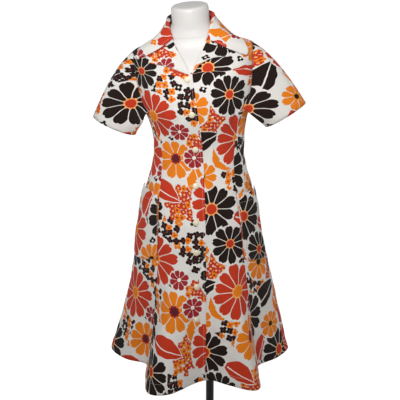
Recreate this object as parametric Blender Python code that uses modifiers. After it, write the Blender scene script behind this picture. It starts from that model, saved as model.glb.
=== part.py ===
"""A short-sleeved shirt dress on a limbless dress form, modelled as its cut and sewn pieces.

Metres, +Z up. The front faces -Y and +X is the wearer's left. The origin is the centre of the
stand's underside, on the floor. Cloth is described round the body by a height and an angle: 0 is
the centre front, 90 degrees the wearer's left side seam, 180 the centre back.
"""

import math
from functools import partial

import bpy
import numpy as np

# Cloth
TINY = 1e-9
WALL = 0.0013  # cotton with its turned-in seam allowances
SEAM = 0.0012  # between two sewn edges, measured on the outside
LAYER = 0.0006  # air between two layers that lie on each other
ON_PANEL = WALL + LAYER  # how far a piece lying on a panel has its own face above the panel's

# Heights above the floor
HEM = 0.385
HIP = 0.740
BREAK = 1.240  # the lapels turn back here
NECK_SEAM = 1.352
SKIRT_ROWS = (HEM, 0.465, 0.545, 0.620, 0.690, HIP)
BODICE_ROWS = (0.790, 0.845, 0.900, 0.930, 0.965, 1.000, 1.035, 1.070, 1.100)
SHOULDER_ROWS = (1.304, 1.311, 1.319, 1.328, 1.340, NECK_SEAM)
PANEL_ROWS = SKIRT_ROWS + BODICE_ROWS

# Cross-sections of the dress above the hip: height, half width, depth in front of and behind the
# side seams, and how square the oval is (2 is an ellipse)
SECTIONS = np.array((
    # height  half    front   back    square
    (0.740, 0.1850, 0.1500, 0.1500, 2.05),
    (0.800, 0.1750, 0.1430, 0.1460, 2.10),
    (0.850, 0.1660, 0.1340, 0.1360, 2.10),
    (0.905, 0.1505, 0.1200, 0.1200, 2.10),
    (0.965, 0.1335, 0.1050, 0.1000, 2.10),
    (1.000, 0.1285, 0.1010, 0.0950, 2.10),
    (1.035, 0.1285, 0.1020, 0.0970, 2.10),
    (1.070, 0.1310, 0.1090, 0.1030, 2.12),
    (1.100, 0.1385, 0.1180, 0.1090, 2.15),
    (1.128, 0.1490, 0.1230, 0.1130, 2.20),
    (1.160, 0.1575, 0.1240, 0.1160, 2.25),
    (1.200, 0.1625, 0.1180, 0.1180, 2.30),
    (1.240, 0.1665, 0.1060, 0.1160, 2.30),
    (1.270, 0.1700, 0.0900, 0.1090, 2.25),
    (1.290, 0.1710, 0.0750, 0.0980, 2.15),
    (1.300, 0.1640, 0.0670, 0.0890, 2.10),
    (1.308, 0.1440, 0.0625, 0.0810, 2.10),
    (1.317, 0.1160, 0.0590, 0.0735, 2.10),
    (1.328, 0.0930, 0.0570, 0.0670, 2.10),
    (1.341, 0.0755, 0.0550, 0.0620, 2.10),
    (1.358, 0.0620, 0.0530, 0.0580, 2.10),
))

# The bust is a gentle rise on each side of the centre front
BUST_RISE, BUST_DEGREES, BUST_HEIGHT = 0.007, 38.0, 1.145
BUST_SPREAD_DEGREES, BUST_SPREAD = 20.0, 0.045

# The hem's flutes: points round the hem, each with its angle and its distance from the axis. The
# ridges are at -92, -19, 36, 98, 146, 190 and 236 degrees.
# From hip to hem the cloth sweeps out: 1 is a straight cone, and more is a curve that flares late.
SKIRT_SWEEP, SWEEP_TO_RIGHT = 1.22, 0.26  # at the front and back, and how much more on the right
FLUTES = np.array((
    # degrees  radius
    (-92.0, 0.266),
    (-66.0, 0.225),
    (-51.0, 0.187),
    (-33.0, 0.248),
    (-19.0, 0.321),
    (-11.0, 0.303),
    (-2.0, 0.243),
    (15.0, 0.211),
    (25.0, 0.255),
    (36.0, 0.311),
    (47.0, 0.255),
    (60.0, 0.210),
    (80.0, 0.240),
    (98.0, 0.268),
    (122.0, 0.224),
    (146.0, 0.288),
    (168.0, 0.240),
    (190.0, 0.290),
    (213.0, 0.228),
    (236.0, 0.274),
    (253.0, 0.240),
    (268.0, 0.266),
))
HEM_CURVE = np.vstack((FLUTES[-2] - (360.0, 0.0), FLUTES, FLUTES[1] + (360.0, 0.0)))

# The seams that run from each armhole down to the hem, in degrees either side of the centre
# front. The dress hangs turned a little on the form, so the two sides differ.
PRINCESS_SEAMS = np.array((
    # height  wearer's right  wearer's left
    (0.385, 46.0, 55.0),
    (0.710, 40.0, 52.0),
    (0.800, 42.0, 51.5),
    (0.910, 49.0, 54.0),
    (0.965, 53.5, 57.5),
    (1.035, 56.5, 60.5),
    (1.100, 60.5, 62.5),
    (1.1345, 63.0, 63.0),
))

# The line of the buttons, and how far the front edges lie on each side of it
BUTTON_LINE = np.array((
    # height  sideways  to the edge
    (0.385, 0.009, 0.027),
    (0.650, 0.008, 0.026),
    (0.830, 0.004, 0.026),
    (0.930, 0.001, 0.024),
    (1.030, 0.000, 0.019),
    (1.136, -0.004, 0.016),
    (1.230, -0.011, 0.015),
))
OVERLAP_RAMP = 0.012  # over which the top front climbs onto the lower one
OVERLAP_FADE = 0.040  # above the break, over which it comes down again
BUTTON_HEIGHTS = (1.228, 1.136, 1.033, 0.931, 0.833, 0.749, 0.653, 0.561)

# Armhole: an oval about the side seam's line, cut further into the front than into the back
ARMHOLE_MIDDLE, ARMHOLE_HALF = 1.213, 0.085
ARMHOLE_STEP = 22.5
ARMHOLE_CORNER = 157.5  # the princess seam meets the armhole here
SIDE_COLUMNS = 6
ARMHOLE = np.array((
    # degrees round from the shoulder, cut into the front, cut into the back
    (0.0, 0.0, 0.0),
    (22.5, 7.0, 6.0),
    (45.0, 10.0, 8.0),
    (67.5, 11.0, 9.0),
    (90.0, 12.0, 10.0),
    (112.5, 15.5, 11.5),
    (135.0, 22.0, 14.0),
    (157.5, 27.0, 12.0),
    (180.0, 0.0, 0.0),
))

# Edge of the front above the break: the roll line of the lapel, then the neck seam
NECK_EDGE = np.array((
    # height  degrees
    (1.240, 1.0),
    (1.265, 8.0),
    (1.285, 17.7),
    (1.305, 30.7),
    (1.325, 43.0),
    (1.340, 56.0),
    (1.352, 75.0),
))
FRONT_COLUMNS = 12
STRIP_COLUMNS = 3
BUTTON_COLUMN = FRONT_COLUMNS - 1
BACK_COLUMNS = 24

# Sleeve: middle of its hem, half sizes there and how it leans, on the wearer's left
CUFF_X, CUFF_Z = 0.242, 1.090
CUFF_HALF_WIDTH, CUFF_HALF_DEPTH = 0.0655, 0.044
CUFF_LEAN = math.radians(27.7)
SLEEVE_CAP, SLEEVE_ROUND = 0.026, 0.010  # how far it stands out at the shoulder, and at the sides
SLEEVE_FULLEST = 0.30  # how far down it does so
SLEEVE_STATIONS = 6
SLEEVE_SEAM = 0.0012  # from the armhole's edge to the sleeve's

# Patch pockets, over the side fronts
POCKET_TOP = 0.902
POCKET_BOTTOM = (0.724, 0.690)  # at its front edge, and at the side seam
POCKET_ROWS = (0.0, 0.05, 0.25, 0.5, 0.75, 1.0)
POCKET_CORNERS = (0.5, 0.0)  # columns cut away at the lowest rows, for the round corners
POCKET_MARGIN = 0.12  # columns between the pocket and each seam
POCKET_LIFT = 0.0008
POCKET_GAPE = {"right": 0.008, "left": 0.013}  # how far its top stands away

# Lapels: from the roll line to the outer edge, on the dress's own front, sideways and height
LAPELS = {
    # side: break, then two places on the lower edge, point, upper corner under the collar
    "right": ((0.004, 1.2390), (0.031, 1.2498), (0.060, 1.2610), (0.117, 1.2730), (0.108, 1.2900)),
    "left": ((0.008, 1.2425), (0.0235, 1.2620), (0.052, 1.2740), (0.104, 1.2760), (0.100, 1.2930)),
}
LAPEL_REACH = (0.0, 0.22, 0.45, 0.86, 1.0)  # shares of the way up at which it has them
LAPEL_GORGE = {"right": 1.322, "left": 1.315}  # where the collar leaves it
LAPEL_ROWS, LAPEL_COLUMNS = 6, 5
LAPEL_LIFT_BREAK, LAPEL_LIFT_GORGE = 0.0046, 0.0021
LAPEL_SWELL = 0.003

# Collar, for the wearer's left: where it is sewn, where it folds, its free edge, and how far it
# sags between fold and edge. Ahead of the shoulder the seam's angle is that of the neck edge.
COLLAR = np.array((
    # seam: degrees, height; fold: sideways, forward, height; edge: degrees, height; sag
    (43.5, 1.3255, 0.0440, 0.0520, 1.3310, 72.5, 1.2790, 0.013),
    (54.0, 1.3380, 0.0500, 0.0440, 1.3450, 75.5, 1.2920, 0.009),
    (70.0, 1.3495, 0.0555, 0.0280, 1.3620, 81.0, 1.3075, 0.006),
    (90.0, 1.3525, 0.0575, 0.0000, 1.3770, 90.0, 1.3195, 0.006),
    (112.5, 1.3525, 0.0530, -0.0300, 1.3850, 108.0, 1.3150, 0.004),
    (135.0, 1.3525, 0.0410, -0.0480, 1.3885, 130.0, 1.3070, 0.003),
    (157.5, 1.3525, 0.0220, -0.0590, 1.3900, 154.0, 1.3030, 0.003),
    (180.0, 1.3525, 0.0000, -0.0620, 1.3905, 180.0, 1.3020, 0.003),
))
COLLAR_DROP = (0.008,)  # the left front end hangs lower than the right by this
COLLAR_LIFT_FRONT, COLLAR_LIFT_BACK = 0.0064, 0.0040
COLLAR_FRONT_DEGREES, COLLAR_FRONT_SPREAD = 105.0, 30.0  # where it comes to lie on the lapels
COLLAR_ROLL = 0.0035  # radius at which it folds
ROLL_INSIDE, ROLL_OUT, ROLL_UP, ROLL_END = 0.6, 0.5, 0.2, 1.6  # its points, in such radii
COLLAR_FALL = (0.10, 0.32, 0.55, 0.78, 1.0)  # shares of the fall at which it has points

# Buttons
BUTTON_RADIUS, BUTTON_THICK, BUTTON_RIM = 0.0085, 0.0050, 0.0016
BUTTON_THREAD = 0.0005  # the thread holds it this far off the cloth

# How it hangs: the form's upper half leans to the wearer's right
CENTRE_X = -0.033
LEAN = math.radians(4.8)
LEAN_FROM, LEAN_TO = 0.95, 1.25
SLEEVE_LEANS_AS = 1.25  # all of a sleeve but its top leans as this height does
SLEEVE_LEAN_PACE = 1.5

# Dress form: room between it and the cloth's outside, and its own hips, which the skirt hides
FORM_ROOM = np.array((
    # height  room
    (0.740, 0.0170),
    (0.850, 0.0110),
    (0.965, 0.0070),
    (1.100, 0.0060),
    (1.200, 0.0050),
    (1.245, 0.0040),
    (1.273, 0.0042),
    (1.298, 0.0046),
    (1.311, 0.0046),
    (1.328, 0.0038),
    (1.358, 0.0036),
))
FORM_HIPS = np.array((
    # height  half    front   back
    (0.600, 0.1340, 0.1020, 0.1130),
    (0.606, 0.1420, 0.1100, 0.1210),
    (0.640, 0.1530, 0.1210, 0.1290),
    (0.690, 0.1605, 0.1295, 0.1320),
))
NECK_JOINT = 1.3295
FORM_COLUMNS = 48
NECK_HALF, NECK_DEPTH = 0.0518, 0.0518
NECK_TOP = 1.412
NECK_RIM = np.array((
    # below the top, in from the side
    (0.045, 0.0000),
    (0.010, 0.0002),
    (0.004, 0.0018),
    (0.001, 0.0050),
    (0.000, 0.0100),
))
NECK_CAP_SLOPE = math.tan(math.radians(5.0))

# Stand
POLE_RADIUS, POLE_PLATE_RADIUS, POLE_PLATE = 0.0120, 0.036, 0.004
BASE_RADIUS, BASE_THICK, BASE_BEVEL = 0.170, 0.006, 0.0015
BOSS_RADIUS, BOSS_TOP = 0.022, 0.030
CLEAR = 0.0003

# Colours, as linear red, green and blue
COTTON = (0.80, 0.76, 0.70)
CREAM = (0.82, 0.74, 0.55)
FORM_WHITE = (0.78, 0.78, 0.77)
STEEL_BLACK = (0.03, 0.03, 0.035)


def curve(table, column, at):
    """A smooth curve through one column of a table, whose first column rises."""
    xs, ys = table[:, 0], table[:, column]
    at = np.clip(np.asarray(at, float), xs[0], xs[-1])
    slopes = np.gradient(ys, xs)
    low = np.clip(np.searchsorted(xs, at, side="right") - 1, 0, len(xs) - 2)
    step = xs[low + 1] - xs[low]
    t = (at - xs[low]) / step
    start, end = ys[low], ys[low + 1]
    rise_in, rise_out = slopes[low] * step, slopes[low + 1] * step
    return (start * (2 * t**3 - 3 * t**2 + 1) + rise_in * (t**3 - 2 * t**2 + t)
            + end * (3 * t**2 - 2 * t**3) + rise_out * (t**3 - t**2))


def ease(t):
    """0 to 1 with a level start and a level end."""
    t = np.clip(t, 0.0, 1.0)
    return t * t * (3.0 - 2.0 * t)


def oval(theta, half, front, back, square):
    """Distance from the axis of a squarish oval, at an angle from the front."""
    depth = np.where(np.cos(theta) > 0.0, front, back)
    across = np.abs(np.sin(theta) / half) ** square
    along = np.abs(np.cos(theta) / depth) ** square
    return (across + along) ** (-1.0 / square)


def bodice_radius(theta, height):
    """Distance of the cloth's outside from the axis, above the hip."""
    values = [curve(SECTIONS, column, height) for column in (1, 2, 3, 4)]
    off_centre = (np.abs(np.degrees(theta)) - BUST_DEGREES) / BUST_SPREAD_DEGREES
    off_height = (height - BUST_HEIGHT) / BUST_SPREAD
    return oval(theta, *values) + BUST_RISE * np.exp(-off_centre**2 - off_height**2)


def hem_radius(theta):
    """Distance of the hem from the axis."""
    first = FLUTES[0, 0]
    return curve(HEM_CURVE, 1, (np.degrees(theta) - first) % 360.0 + first)


def wrapped(theta):
    """The same angle between -180 and 180 degrees."""
    return (theta + math.pi) % (2.0 * math.pi) - math.pi


def radius(theta, height):
    """Distance of the cloth's outside from the axis. Below the hip it sweeps out to the hem."""
    theta, height = wrapped(np.asarray(theta, float)), np.asarray(height, float)
    upper = bodice_radius(theta, np.maximum(height, HIP))
    sweep = SKIRT_SWEEP - SWEEP_TO_RIGHT * np.sin(theta)
    fall = np.clip((HIP - height) / (HIP - HEM), 0.0, 1.0) ** sweep
    return upper + fall * (hem_radius(theta) - upper)


def upright(theta, height):
    """A point of the cloth's outside before the form's lean."""
    r = radius(theta, height)
    return np.stack([r * np.sin(theta), -r * np.cos(theta), height + 0.0 * r], axis=-1)


def outward(theta, height):
    """The direction square to the cloth there, pointing out."""
    small = 1e-4
    across = upright(theta + small, height) - upright(theta - small, height)
    up = upright(theta, height + small) - upright(theta, height - small)
    normal = np.cross(across, up)
    return normal / np.linalg.norm(normal, axis=-1, keepdims=True)


def settled(points, leans_as=None):
    """Points moved as the form's upper half leans. leans_as is the height whose lean they take."""
    points = np.asarray(points, float)
    pivot = points[..., 2] if leans_as is None else leans_as
    t = np.clip((pivot - LEAN_FROM) / (LEAN_TO - LEAN_FROM), 0.0, 1.0)
    lean = LEAN * ease(t)
    shift = LEAN * ((LEAN_TO - LEAN_FROM) * (t**3 - t**4 / 2.0) + np.maximum(pivot - LEAN_TO, 0.0))
    x, rise = points[..., 0], points[..., 2] - pivot
    moved_x = CENTRE_X - shift + x * np.cos(lean) - rise * np.sin(lean)
    moved_z = pivot + x * np.sin(lean) + rise * np.cos(lean)
    return np.stack([moved_x, points[..., 1], moved_z], axis=-1)


def cloth_point(theta, height, lift=0.0):
    """A point of the worn cloth, moved out from its surface by lift."""
    theta, height = np.broadcast_arrays(np.asarray(theta, float), np.asarray(height, float))
    out = outward(theta, height) * np.asarray(lift)[..., None]
    return settled(upright(theta, height) + out)


def angle_at(sideways, height):
    """The angle near the front at which the cloth is this far sideways of the centre."""
    sideways, height = np.broadcast_arrays(np.asarray(sideways, float), np.asarray(height, float))
    low, high = np.zeros(sideways.shape), np.full(sideways.shape, math.pi / 2.0)
    side = np.sign(sideways)
    for _ in range(40):
        middle = (low + high) / 2.0
        near = radius(side * middle, height) * np.sin(middle) < np.abs(sideways)
        low, high = np.where(near, middle, low), np.where(near, high, middle)
    return side * low


def armhole_height(phi):
    """Height of the armhole's edge, phi degrees round from the shoulder."""
    return ARMHOLE_MIDDLE + ARMHOLE_HALF * np.cos(np.radians(phi))


def armhole_cut(phi, column):
    """How many degrees the armhole is cut in: column 1 is the front, column 2 the back."""
    if column == 1 and phi > ARMHOLE_CORNER:
        turn = (phi - ARMHOLE_CORNER) / (180.0 - ARMHOLE_CORNER)
        return ARMHOLE[-2, 1] * math.cos(turn * math.pi / 2.0)
    return float(curve(ARMHOLE, column, phi))


ARMHOLE_TURNS = np.arange(180.0, -1.0, -ARMHOLE_STEP)
ARMHOLE_ROWS = tuple(armhole_height(phi) for phi in ARMHOLE_TURNS)
FORM_ROWS = (tuple(FORM_HIPS[:, 0]) + (HIP, 0.790, 0.845, 0.900, 0.965, 1.035, 1.100)
             + ARMHOLE_ROWS + SHOULDER_ROWS[:3] + (NECK_JOINT,))
NECK_ROWS = (NECK_JOINT + CLEAR,) + SHOULDER_ROWS[-2:]
SIDE_TURNS = np.linspace(ARMHOLE_CORNER, 180.0, SIDE_COLUMNS + 1)
SIDE_SHARES = 1.0 - np.array([armhole_cut(phi, 1) for phi in SIDE_TURNS]) / ARMHOLE[-2, 1]


def princess_angle(side, height):
    """Angle of the princess seam. side is -1 on the wearer's right and 1 on the left."""
    column = 1 if side < 0 else 2
    return math.radians(float(curve(PRINCESS_SEAMS, column, height)))


def half_gap(theta, height):
    """Half of a seam's gap, as an angle."""
    return 0.5 * SEAM / float(radius(theta, height))


def front_outer_angle(side, height):
    """Where a front ends on its outer side: princess seam, armhole, then shoulder seam."""
    corner = armhole_height(ARMHOLE_CORNER)
    if height <= corner + 1e-6:
        angle = princess_angle(side, height)
        return angle - half_gap(side * angle, height)
    if height < armhole_height(0.0) - 1e-6:
        phi = math.degrees(math.acos((height - ARMHOLE_MIDDLE) / ARMHOLE_HALF))
        return math.radians(90.0 - armhole_cut(phi, 1))
    return math.radians(90.0) - half_gap(side * math.pi / 2.0, height)


def front_row(side, height):
    """Angles and lifts along one row of a front, from its outer side to its front edge."""
    outer = front_outer_angle(side, height)
    if height >= BREAK:
        inner = math.radians(float(curve(NECK_EDGE, 1, height)))
        angles = side * np.linspace(outer, inner, FRONT_COLUMNS + 1)
        lift = ON_PANEL * (1.0 - ease((height - BREAK) / OVERLAP_FADE)) if side < 0 else 0.0
        lifts = np.zeros(FRONT_COLUMNS + 1)
        lifts[-STRIP_COLUMNS:] = lift
        return angles, lifts
    line, edge = (float(curve(BUTTON_LINE, column, height)) for column in (1, 2))
    if side < 0:
        ramp_end = line - edge - LAYER
        strip_x = np.array([ramp_end - OVERLAP_RAMP, ramp_end, line, line + edge])
        strip_lift = np.array([0.0, ON_PANEL, ON_PANEL, ON_PANEL])
    else:
        strip_x = np.array([line + 2.0 * edge, line + edge, line, line - edge])
        strip_lift = np.zeros(4)
    strip = angle_at(strip_x, height)
    plain = np.linspace(side * outer, strip[0], FRONT_COLUMNS - STRIP_COLUMNS + 1)
    angles = np.concatenate([plain, strip[1:]])
    lifts = np.concatenate([np.zeros(len(plain)), strip_lift[1:]])
    return angles, lifts


def right_front_row(height):
    """Points along one row of the wearer's right front, its outer side first."""
    angles, lifts = front_row(-1, height)
    return cloth_point(angles, height, lifts)


def front_grid(side):
    """Rows of points of one front, from the hem to the neck."""
    rows = []
    for height in PANEL_ROWS + ARMHOLE_ROWS + SHOULDER_ROWS:
        angles, lifts = front_row(side, height)
        row = cloth_point(angles, height, lifts)
        rows.append(row if side < 0 else row[::-1])
    return np.array(rows)


def side_angles(side, height):
    """Angles along one row of a side front, from the princess seam to the side seam."""
    start = princess_angle(side, height)
    start += half_gap(side * start, height)
    end = math.pi / 2.0 - half_gap(side * math.pi / 2.0, height)
    return side * (start + (end - start) * SIDE_SHARES)


def side_front_grid(side):
    """Rows of points of one side front, from the hem up to the bottom of the armhole."""
    rows = [cloth_point(side_angles(side, height), height) for height in PANEL_ROWS]
    top = armhole_height(SIDE_TURNS)
    angles = side_angles(side, armhole_height(ARMHOLE_CORNER))
    rows.append(cloth_point(angles, top))
    return np.array([row if side > 0 else row[::-1] for row in rows])


def back_grid():
    """Rows of points of the back, from one side seam round to the other."""
    rows = []
    for height in PANEL_ROWS + ARMHOLE_ROWS + SHOULDER_ROWS:
        cut = half_gap(math.pi / 2.0, height)
        if ARMHOLE_ROWS[0] + 1e-6 < height < ARMHOLE_ROWS[-1] - 1e-6:
            phi = math.degrees(math.acos((height - ARMHOLE_MIDDLE) / ARMHOLE_HALF))
            cut = math.radians(armhole_cut(phi, 2))
        angles = np.linspace(math.pi / 2.0 + cut, 1.5 * math.pi - cut, BACK_COLUMNS + 1)
        rows.append(cloth_point(angles, height))
    return np.array(rows)


def armhole_loop(side):
    """Angle and height of each point round an armhole, from the shoulder by the front."""
    front = [phi for phi in ARMHOLE_TURNS[::-1] if phi < ARMHOLE_CORNER] + list(SIDE_TURNS)
    back = [phi for phi in ARMHOLE_TURNS if 0.0 < phi < 180.0]
    turns = np.array(front + [360.0 - phi for phi in back])
    angles = [90.0 - armhole_cut(phi, 1) for phi in front]
    angles += [90.0 + armhole_cut(phi, 2) for phi in back]
    return turns, side * np.radians(angles), armhole_height(turns)


def sleeve_grid(side):
    """Rings of points of one sleeve, from its hem up to the armhole."""
    turns, angles, heights = armhole_loop(side)
    seam = upright(angles, heights)
    away = seam - seam.mean(axis=0)
    out = outward(angles, heights)
    into_hole = out * np.sum(away * out, axis=1)[:, None] - away
    into_hole /= np.linalg.norm(into_hole, axis=1, keepdims=True)
    turn = np.radians(turns)[:, None]
    cuff_out = np.array([side * math.cos(CUFF_LEAN), 0.0, math.sin(CUFF_LEAN)])
    forward = np.array([0.0, -1.0, 0.0])
    cuff = (np.array([side * CUFF_X, 0.0, CUFF_Z]) + cuff_out * CUFF_HALF_WIDTH * np.cos(turn)
            + forward * CUFF_HALF_DEPTH * np.sin(turn))
    middle = seam + (cuff - seam) * SLEEVE_FULLEST
    middle += cuff_out * SLEEVE_CAP * np.maximum(np.cos(turn), 0.0)
    middle += forward * SLEEVE_ROUND * np.sin(turn)
    start = seam + into_hole * SLEEVE_SEAM + out * LAYER
    rings = []
    for t in np.linspace(1.0, 0.0, SLEEVE_STATIONS + 1):
        ring = start * (1.0 - t)**2 + 2.0 * middle * t * (1.0 - t) + cuff * t**2
        whole = ease(SLEEVE_LEAN_PACE * t)
        leans_as = heights + (SLEEVE_LEANS_AS - heights) * whole
        rings.append(settled(ring, leans_as + (ring[:, 2] - heights) * (1.0 - whole)))
    rings = np.array(rings)
    return rings if side < 0 else rings[:, ::-1]


def on_faces(row_of, rows, height, column):
    """What lies at a height and a column of a panel's flat faces. row_of gives one row's values."""
    above = min(row for row in rows if row >= height - TINY)
    below = max(row for row in rows if row <= height + TINY)
    up = 0.0 if above == below else (height - below) / (above - below)
    low, high = row_of(below), row_of(above)
    left = min(int(column), len(low) - 2)
    across = column - left
    if across < up:
        return low[left] + (high[left] - low[left]) * up + (high[left + 1] - high[left]) * across
    return low[left] + (low[left + 1] - low[left]) * across + (high[left + 1] - low[left + 1]) * up


def side_front_row(side, height):
    """Angle and point of each column along one row of a side front, as its grid has them."""
    angles = side_angles(side, height)[::int(side)]
    return np.column_stack([angles, cloth_point(angles, height)])


def pocket_grid(side):
    """Rows of points of a patch pocket: the side front's own, moved out. Its top gapes."""
    rows = []
    gape_most = POCKET_GAPE["right" if side < 0 else "left"]
    for index, up in enumerate(POCKET_ROWS):
        cut = POCKET_CORNERS[index] if index < len(POCKET_CORNERS) else 0.0
        columns = np.arange(SIDE_COLUMNS + 1.0)
        columns[0] += POCKET_MARGIN + cut
        columns[-1] -= POCKET_MARGIN + cut
        row = []
        for column in columns:
            across = column / SIDE_COLUMNS if side > 0 else 1.0 - column / SIDE_COLUMNS
            bottom = POCKET_BOTTOM[0] + (POCKET_BOTTOM[1] - POCKET_BOTTOM[0]) * across
            height = bottom + (POCKET_TOP - bottom) * up
            place = on_faces(partial(side_front_row, side), PANEL_ROWS, height, column)
            gape = gape_most * math.sin(math.pi * across) ** 0.5 * ease(2.0 * up - 1.0)
            row.append(place[1:] + outward(place[0], height) * (ON_PANEL + POCKET_LIFT + gape))
        rows.append(row)
    return np.array(rows)


def lapel_grid(side):
    """Rows of points of a lapel, from the break up to the gorge."""
    name = "right" if side < 0 else "left"
    outer = np.array(LAPELS[name])
    rows = []
    for v in np.linspace(0.0, 1.0, LAPEL_ROWS + 1):
        edge_x = np.interp(v, LAPEL_REACH, outer[:, 0])
        edge_z = np.interp(v, LAPEL_REACH, outer[:, 1])
        roll_z = BREAK + (LAPEL_GORGE[name] - BREAK) * v
        roll_angle = side * math.radians(float(curve(NECK_EDGE, 1, roll_z)))
        roll_x = float(upright(roll_angle, roll_z)[0])
        u = np.linspace(0.0, 1.0, LAPEL_COLUMNS + 1)
        x = roll_x + (side * edge_x - roll_x) * u
        z = roll_z + (edge_z - roll_z) * u
        lift = LAPEL_LIFT_BREAK + (LAPEL_LIFT_GORGE - LAPEL_LIFT_BREAK) * v
        lift = lift + LAPEL_SWELL * np.sin(np.pi * u) * np.sin(np.pi * v)
        row = cloth_point(angle_at(x, z), z, lift)
        rows.append(row if side > 0 else row[::-1])
    return np.array(rows)


def collar_section(station, side):
    """Points across the collar at one station: stand, fold and fall."""
    seam_deg, seam_z, fold_x, fold_y, fold_z, edge_deg, edge_z, sag = COLLAR[station]
    drop = COLLAR_DROP[station] if side > 0 and station < len(COLLAR_DROP) else 0.0
    seam_z, fold_z, edge_z = seam_z - drop, fold_z - drop, edge_z - drop
    if drop:
        seam_deg = float(curve(NECK_EDGE, 1, seam_z))
    seam = upright(side * math.radians(seam_deg), seam_z)
    fold = np.array([side * fold_x, -fold_y, fold_z])
    edge_angle = side * math.radians(edge_deg)
    front = ease((COLLAR_FRONT_DEGREES - edge_deg) / COLLAR_FRONT_SPREAD)
    lift = COLLAR_LIFT_BACK + (COLLAR_LIFT_FRONT - COLLAR_LIFT_BACK) * front
    edge = upright(edge_angle, edge_z) + outward(edge_angle, edge_z) * lift
    level = np.array([edge[0] - fold[0], edge[1] - fold[1], 0.0])
    level /= np.linalg.norm(level)
    up = np.array([0.0, 0.0, 1.0])
    seam = seam + up * (ON_PANEL + LAYER) - level * WALL
    points = [seam, (seam + fold) / 2.0 - level * LAYER, fold - up * COLLAR_ROLL * ROLL_INSIDE]
    crown = fold + (level * ROLL_OUT + up * ROLL_UP) * COLLAR_ROLL
    points.append(clear_of_body(crown, ON_PANEL))
    start = fold + level * COLLAR_ROLL * ROLL_END
    for t in COLLAR_FALL:
        point = start + (edge - start) * t - up * sag * math.sin(math.pi * t)
        points.append(clear_of_body(point, lift))
    return points


def clear_of_body(point, lift):
    """The point, moved out from the axis if it is nearer the dress than lift."""
    theta = math.atan2(point[0], -point[1])
    least = upright(theta, point[2]) + outward(theta, point[2]) * lift
    if math.hypot(point[0], point[1]) < math.hypot(least[0], least[1]):
        return least
    return point


def collar_grid():
    """Columns run from the wearer's right front, round the back, to the left front."""
    stations = [collar_section(station, -1.0) for station in range(len(COLLAR))]
    stations += [collar_section(station, 1.0) for station in range(len(COLLAR) - 2, -1, -1)]
    return settled(np.array(stations).transpose(1, 0, 2))


def form_ring(height):
    """Points round the dress form, which fills the cloth with the room that the table gives."""
    theta = np.linspace(0.0, 2.0 * math.pi, FORM_COLUMNS, endpoint=False)
    if height < HIP:
        values = [curve(FORM_HIPS, column, height) for column in (1, 2, 3)]
        r = oval(theta, *values, SECTIONS[0, 4])
    else:
        out = outward(theta, height)
        level = out[:, 0] * np.sin(theta) - out[:, 1] * np.cos(theta)
        r = radius(theta, height) - curve(FORM_ROOM, 1, height) / level
    ring = np.stack([r * np.sin(theta), -r * np.cos(theta), np.full(FORM_COLUMNS, height)], axis=1)
    return settled(ring)


def neck_rings():
    """Rings of the form's neck: its spread foot, its straight side and its rounded rim."""
    rings = [form_ring(height) for height in NECK_ROWS]
    theta = np.linspace(0.0, 2.0 * math.pi, FORM_COLUMNS, endpoint=False)
    for below, inward in NECK_RIM:
        x = (NECK_HALF - inward) * np.sin(theta)
        y = -(NECK_DEPTH - inward) * np.cos(theta)
        z = NECK_TOP - below + y * NECK_CAP_SLOPE
        rings.append(settled(np.stack([x, y, z], axis=1)))
    return rings


def material(name, colour, roughness, metallic=0.0):
    """A Principled material, made once."""
    made = bpy.data.materials.get(name) or bpy.data.materials.new(name)
    made.use_nodes = True
    shader = made.node_tree.nodes["Principled BSDF"]
    shader.inputs["Base Color"].default_value = (*colour, 1.0)
    shader.inputs["Roughness"].default_value = roughness
    shader.inputs["Metallic"].default_value = metallic
    return made


def add(name, mesh, collection, finish):
    """An object for this mesh, in the collection, with its material."""
    mesh.materials.append(finish)
    piece = bpy.data.objects.new(name, mesh)
    collection.objects.link(piece)
    return piece


def cloth(name, grid, collection, finish, ring=False):
    """A wall of cloth over a grid of points: an open surface that Solidify thickens inwards.

    The faces are triangles, so that two layers fold along the same lines and stay apart.
    """
    rows, columns = grid.shape[:2]
    faces = []
    for row in range(rows - 1):
        for column in range(columns if ring else columns - 1):
            right = (column + 1) % columns
            low, high = row * columns, (row + 1) * columns
            faces.append((low + column, low + right, high + right))
            faces.append((low + column, high + right, high + column))
    mesh = bpy.data.meshes.new(name)
    mesh.from_pydata(grid.reshape(-1, 3).tolist(), [], faces)
    mesh.shade_smooth()
    piece = add(name, mesh, collection, finish)
    wall = piece.modifiers.new("wall", "SOLIDIFY")
    wall.thickness = WALL
    wall.offset = -1.0
    return piece


def loft(name, rings, collection, finish):
    """A closed solid through rings of points, from the lowest to the highest."""
    columns = len(rings[0])
    points = np.concatenate(rings)
    faces = []
    for row in range(len(rings) - 1):
        for column in range(columns):
            right = (column + 1) % columns
            low, high = row * columns, (row + 1) * columns
            faces.append((low + column, low + right, high + right, high + column))
    faces.append(tuple(reversed(range(columns))))
    faces.append(tuple(range(len(points) - columns, len(points))))
    mesh = bpy.data.meshes.new(name)
    mesh.from_pydata(points.tolist(), [], faces)
    mesh.shade_smooth()
    mesh.set_sharp_from_angle(angle=math.radians(40.0))
    return add(name, mesh, collection, finish)


def turned(name, profile, steps, collection, finish):
    """A turned solid: a profile of radius and height, from its top down its outside."""
    mesh = bpy.data.meshes.new(name)
    points = [(r, 0.0, z) for r, z in profile]
    mesh.from_pydata(points, [(i, i + 1) for i in range(len(points) - 1)], [])
    piece = add(name, mesh, collection, finish)
    screw = piece.modifiers.new("turn", "SCREW")
    screw.steps = steps
    screw.render_steps = steps
    screw.use_merge_vertices = True
    screw.merge_threshold = 0.00001
    screw.use_smooth_shade = True
    return piece


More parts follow.
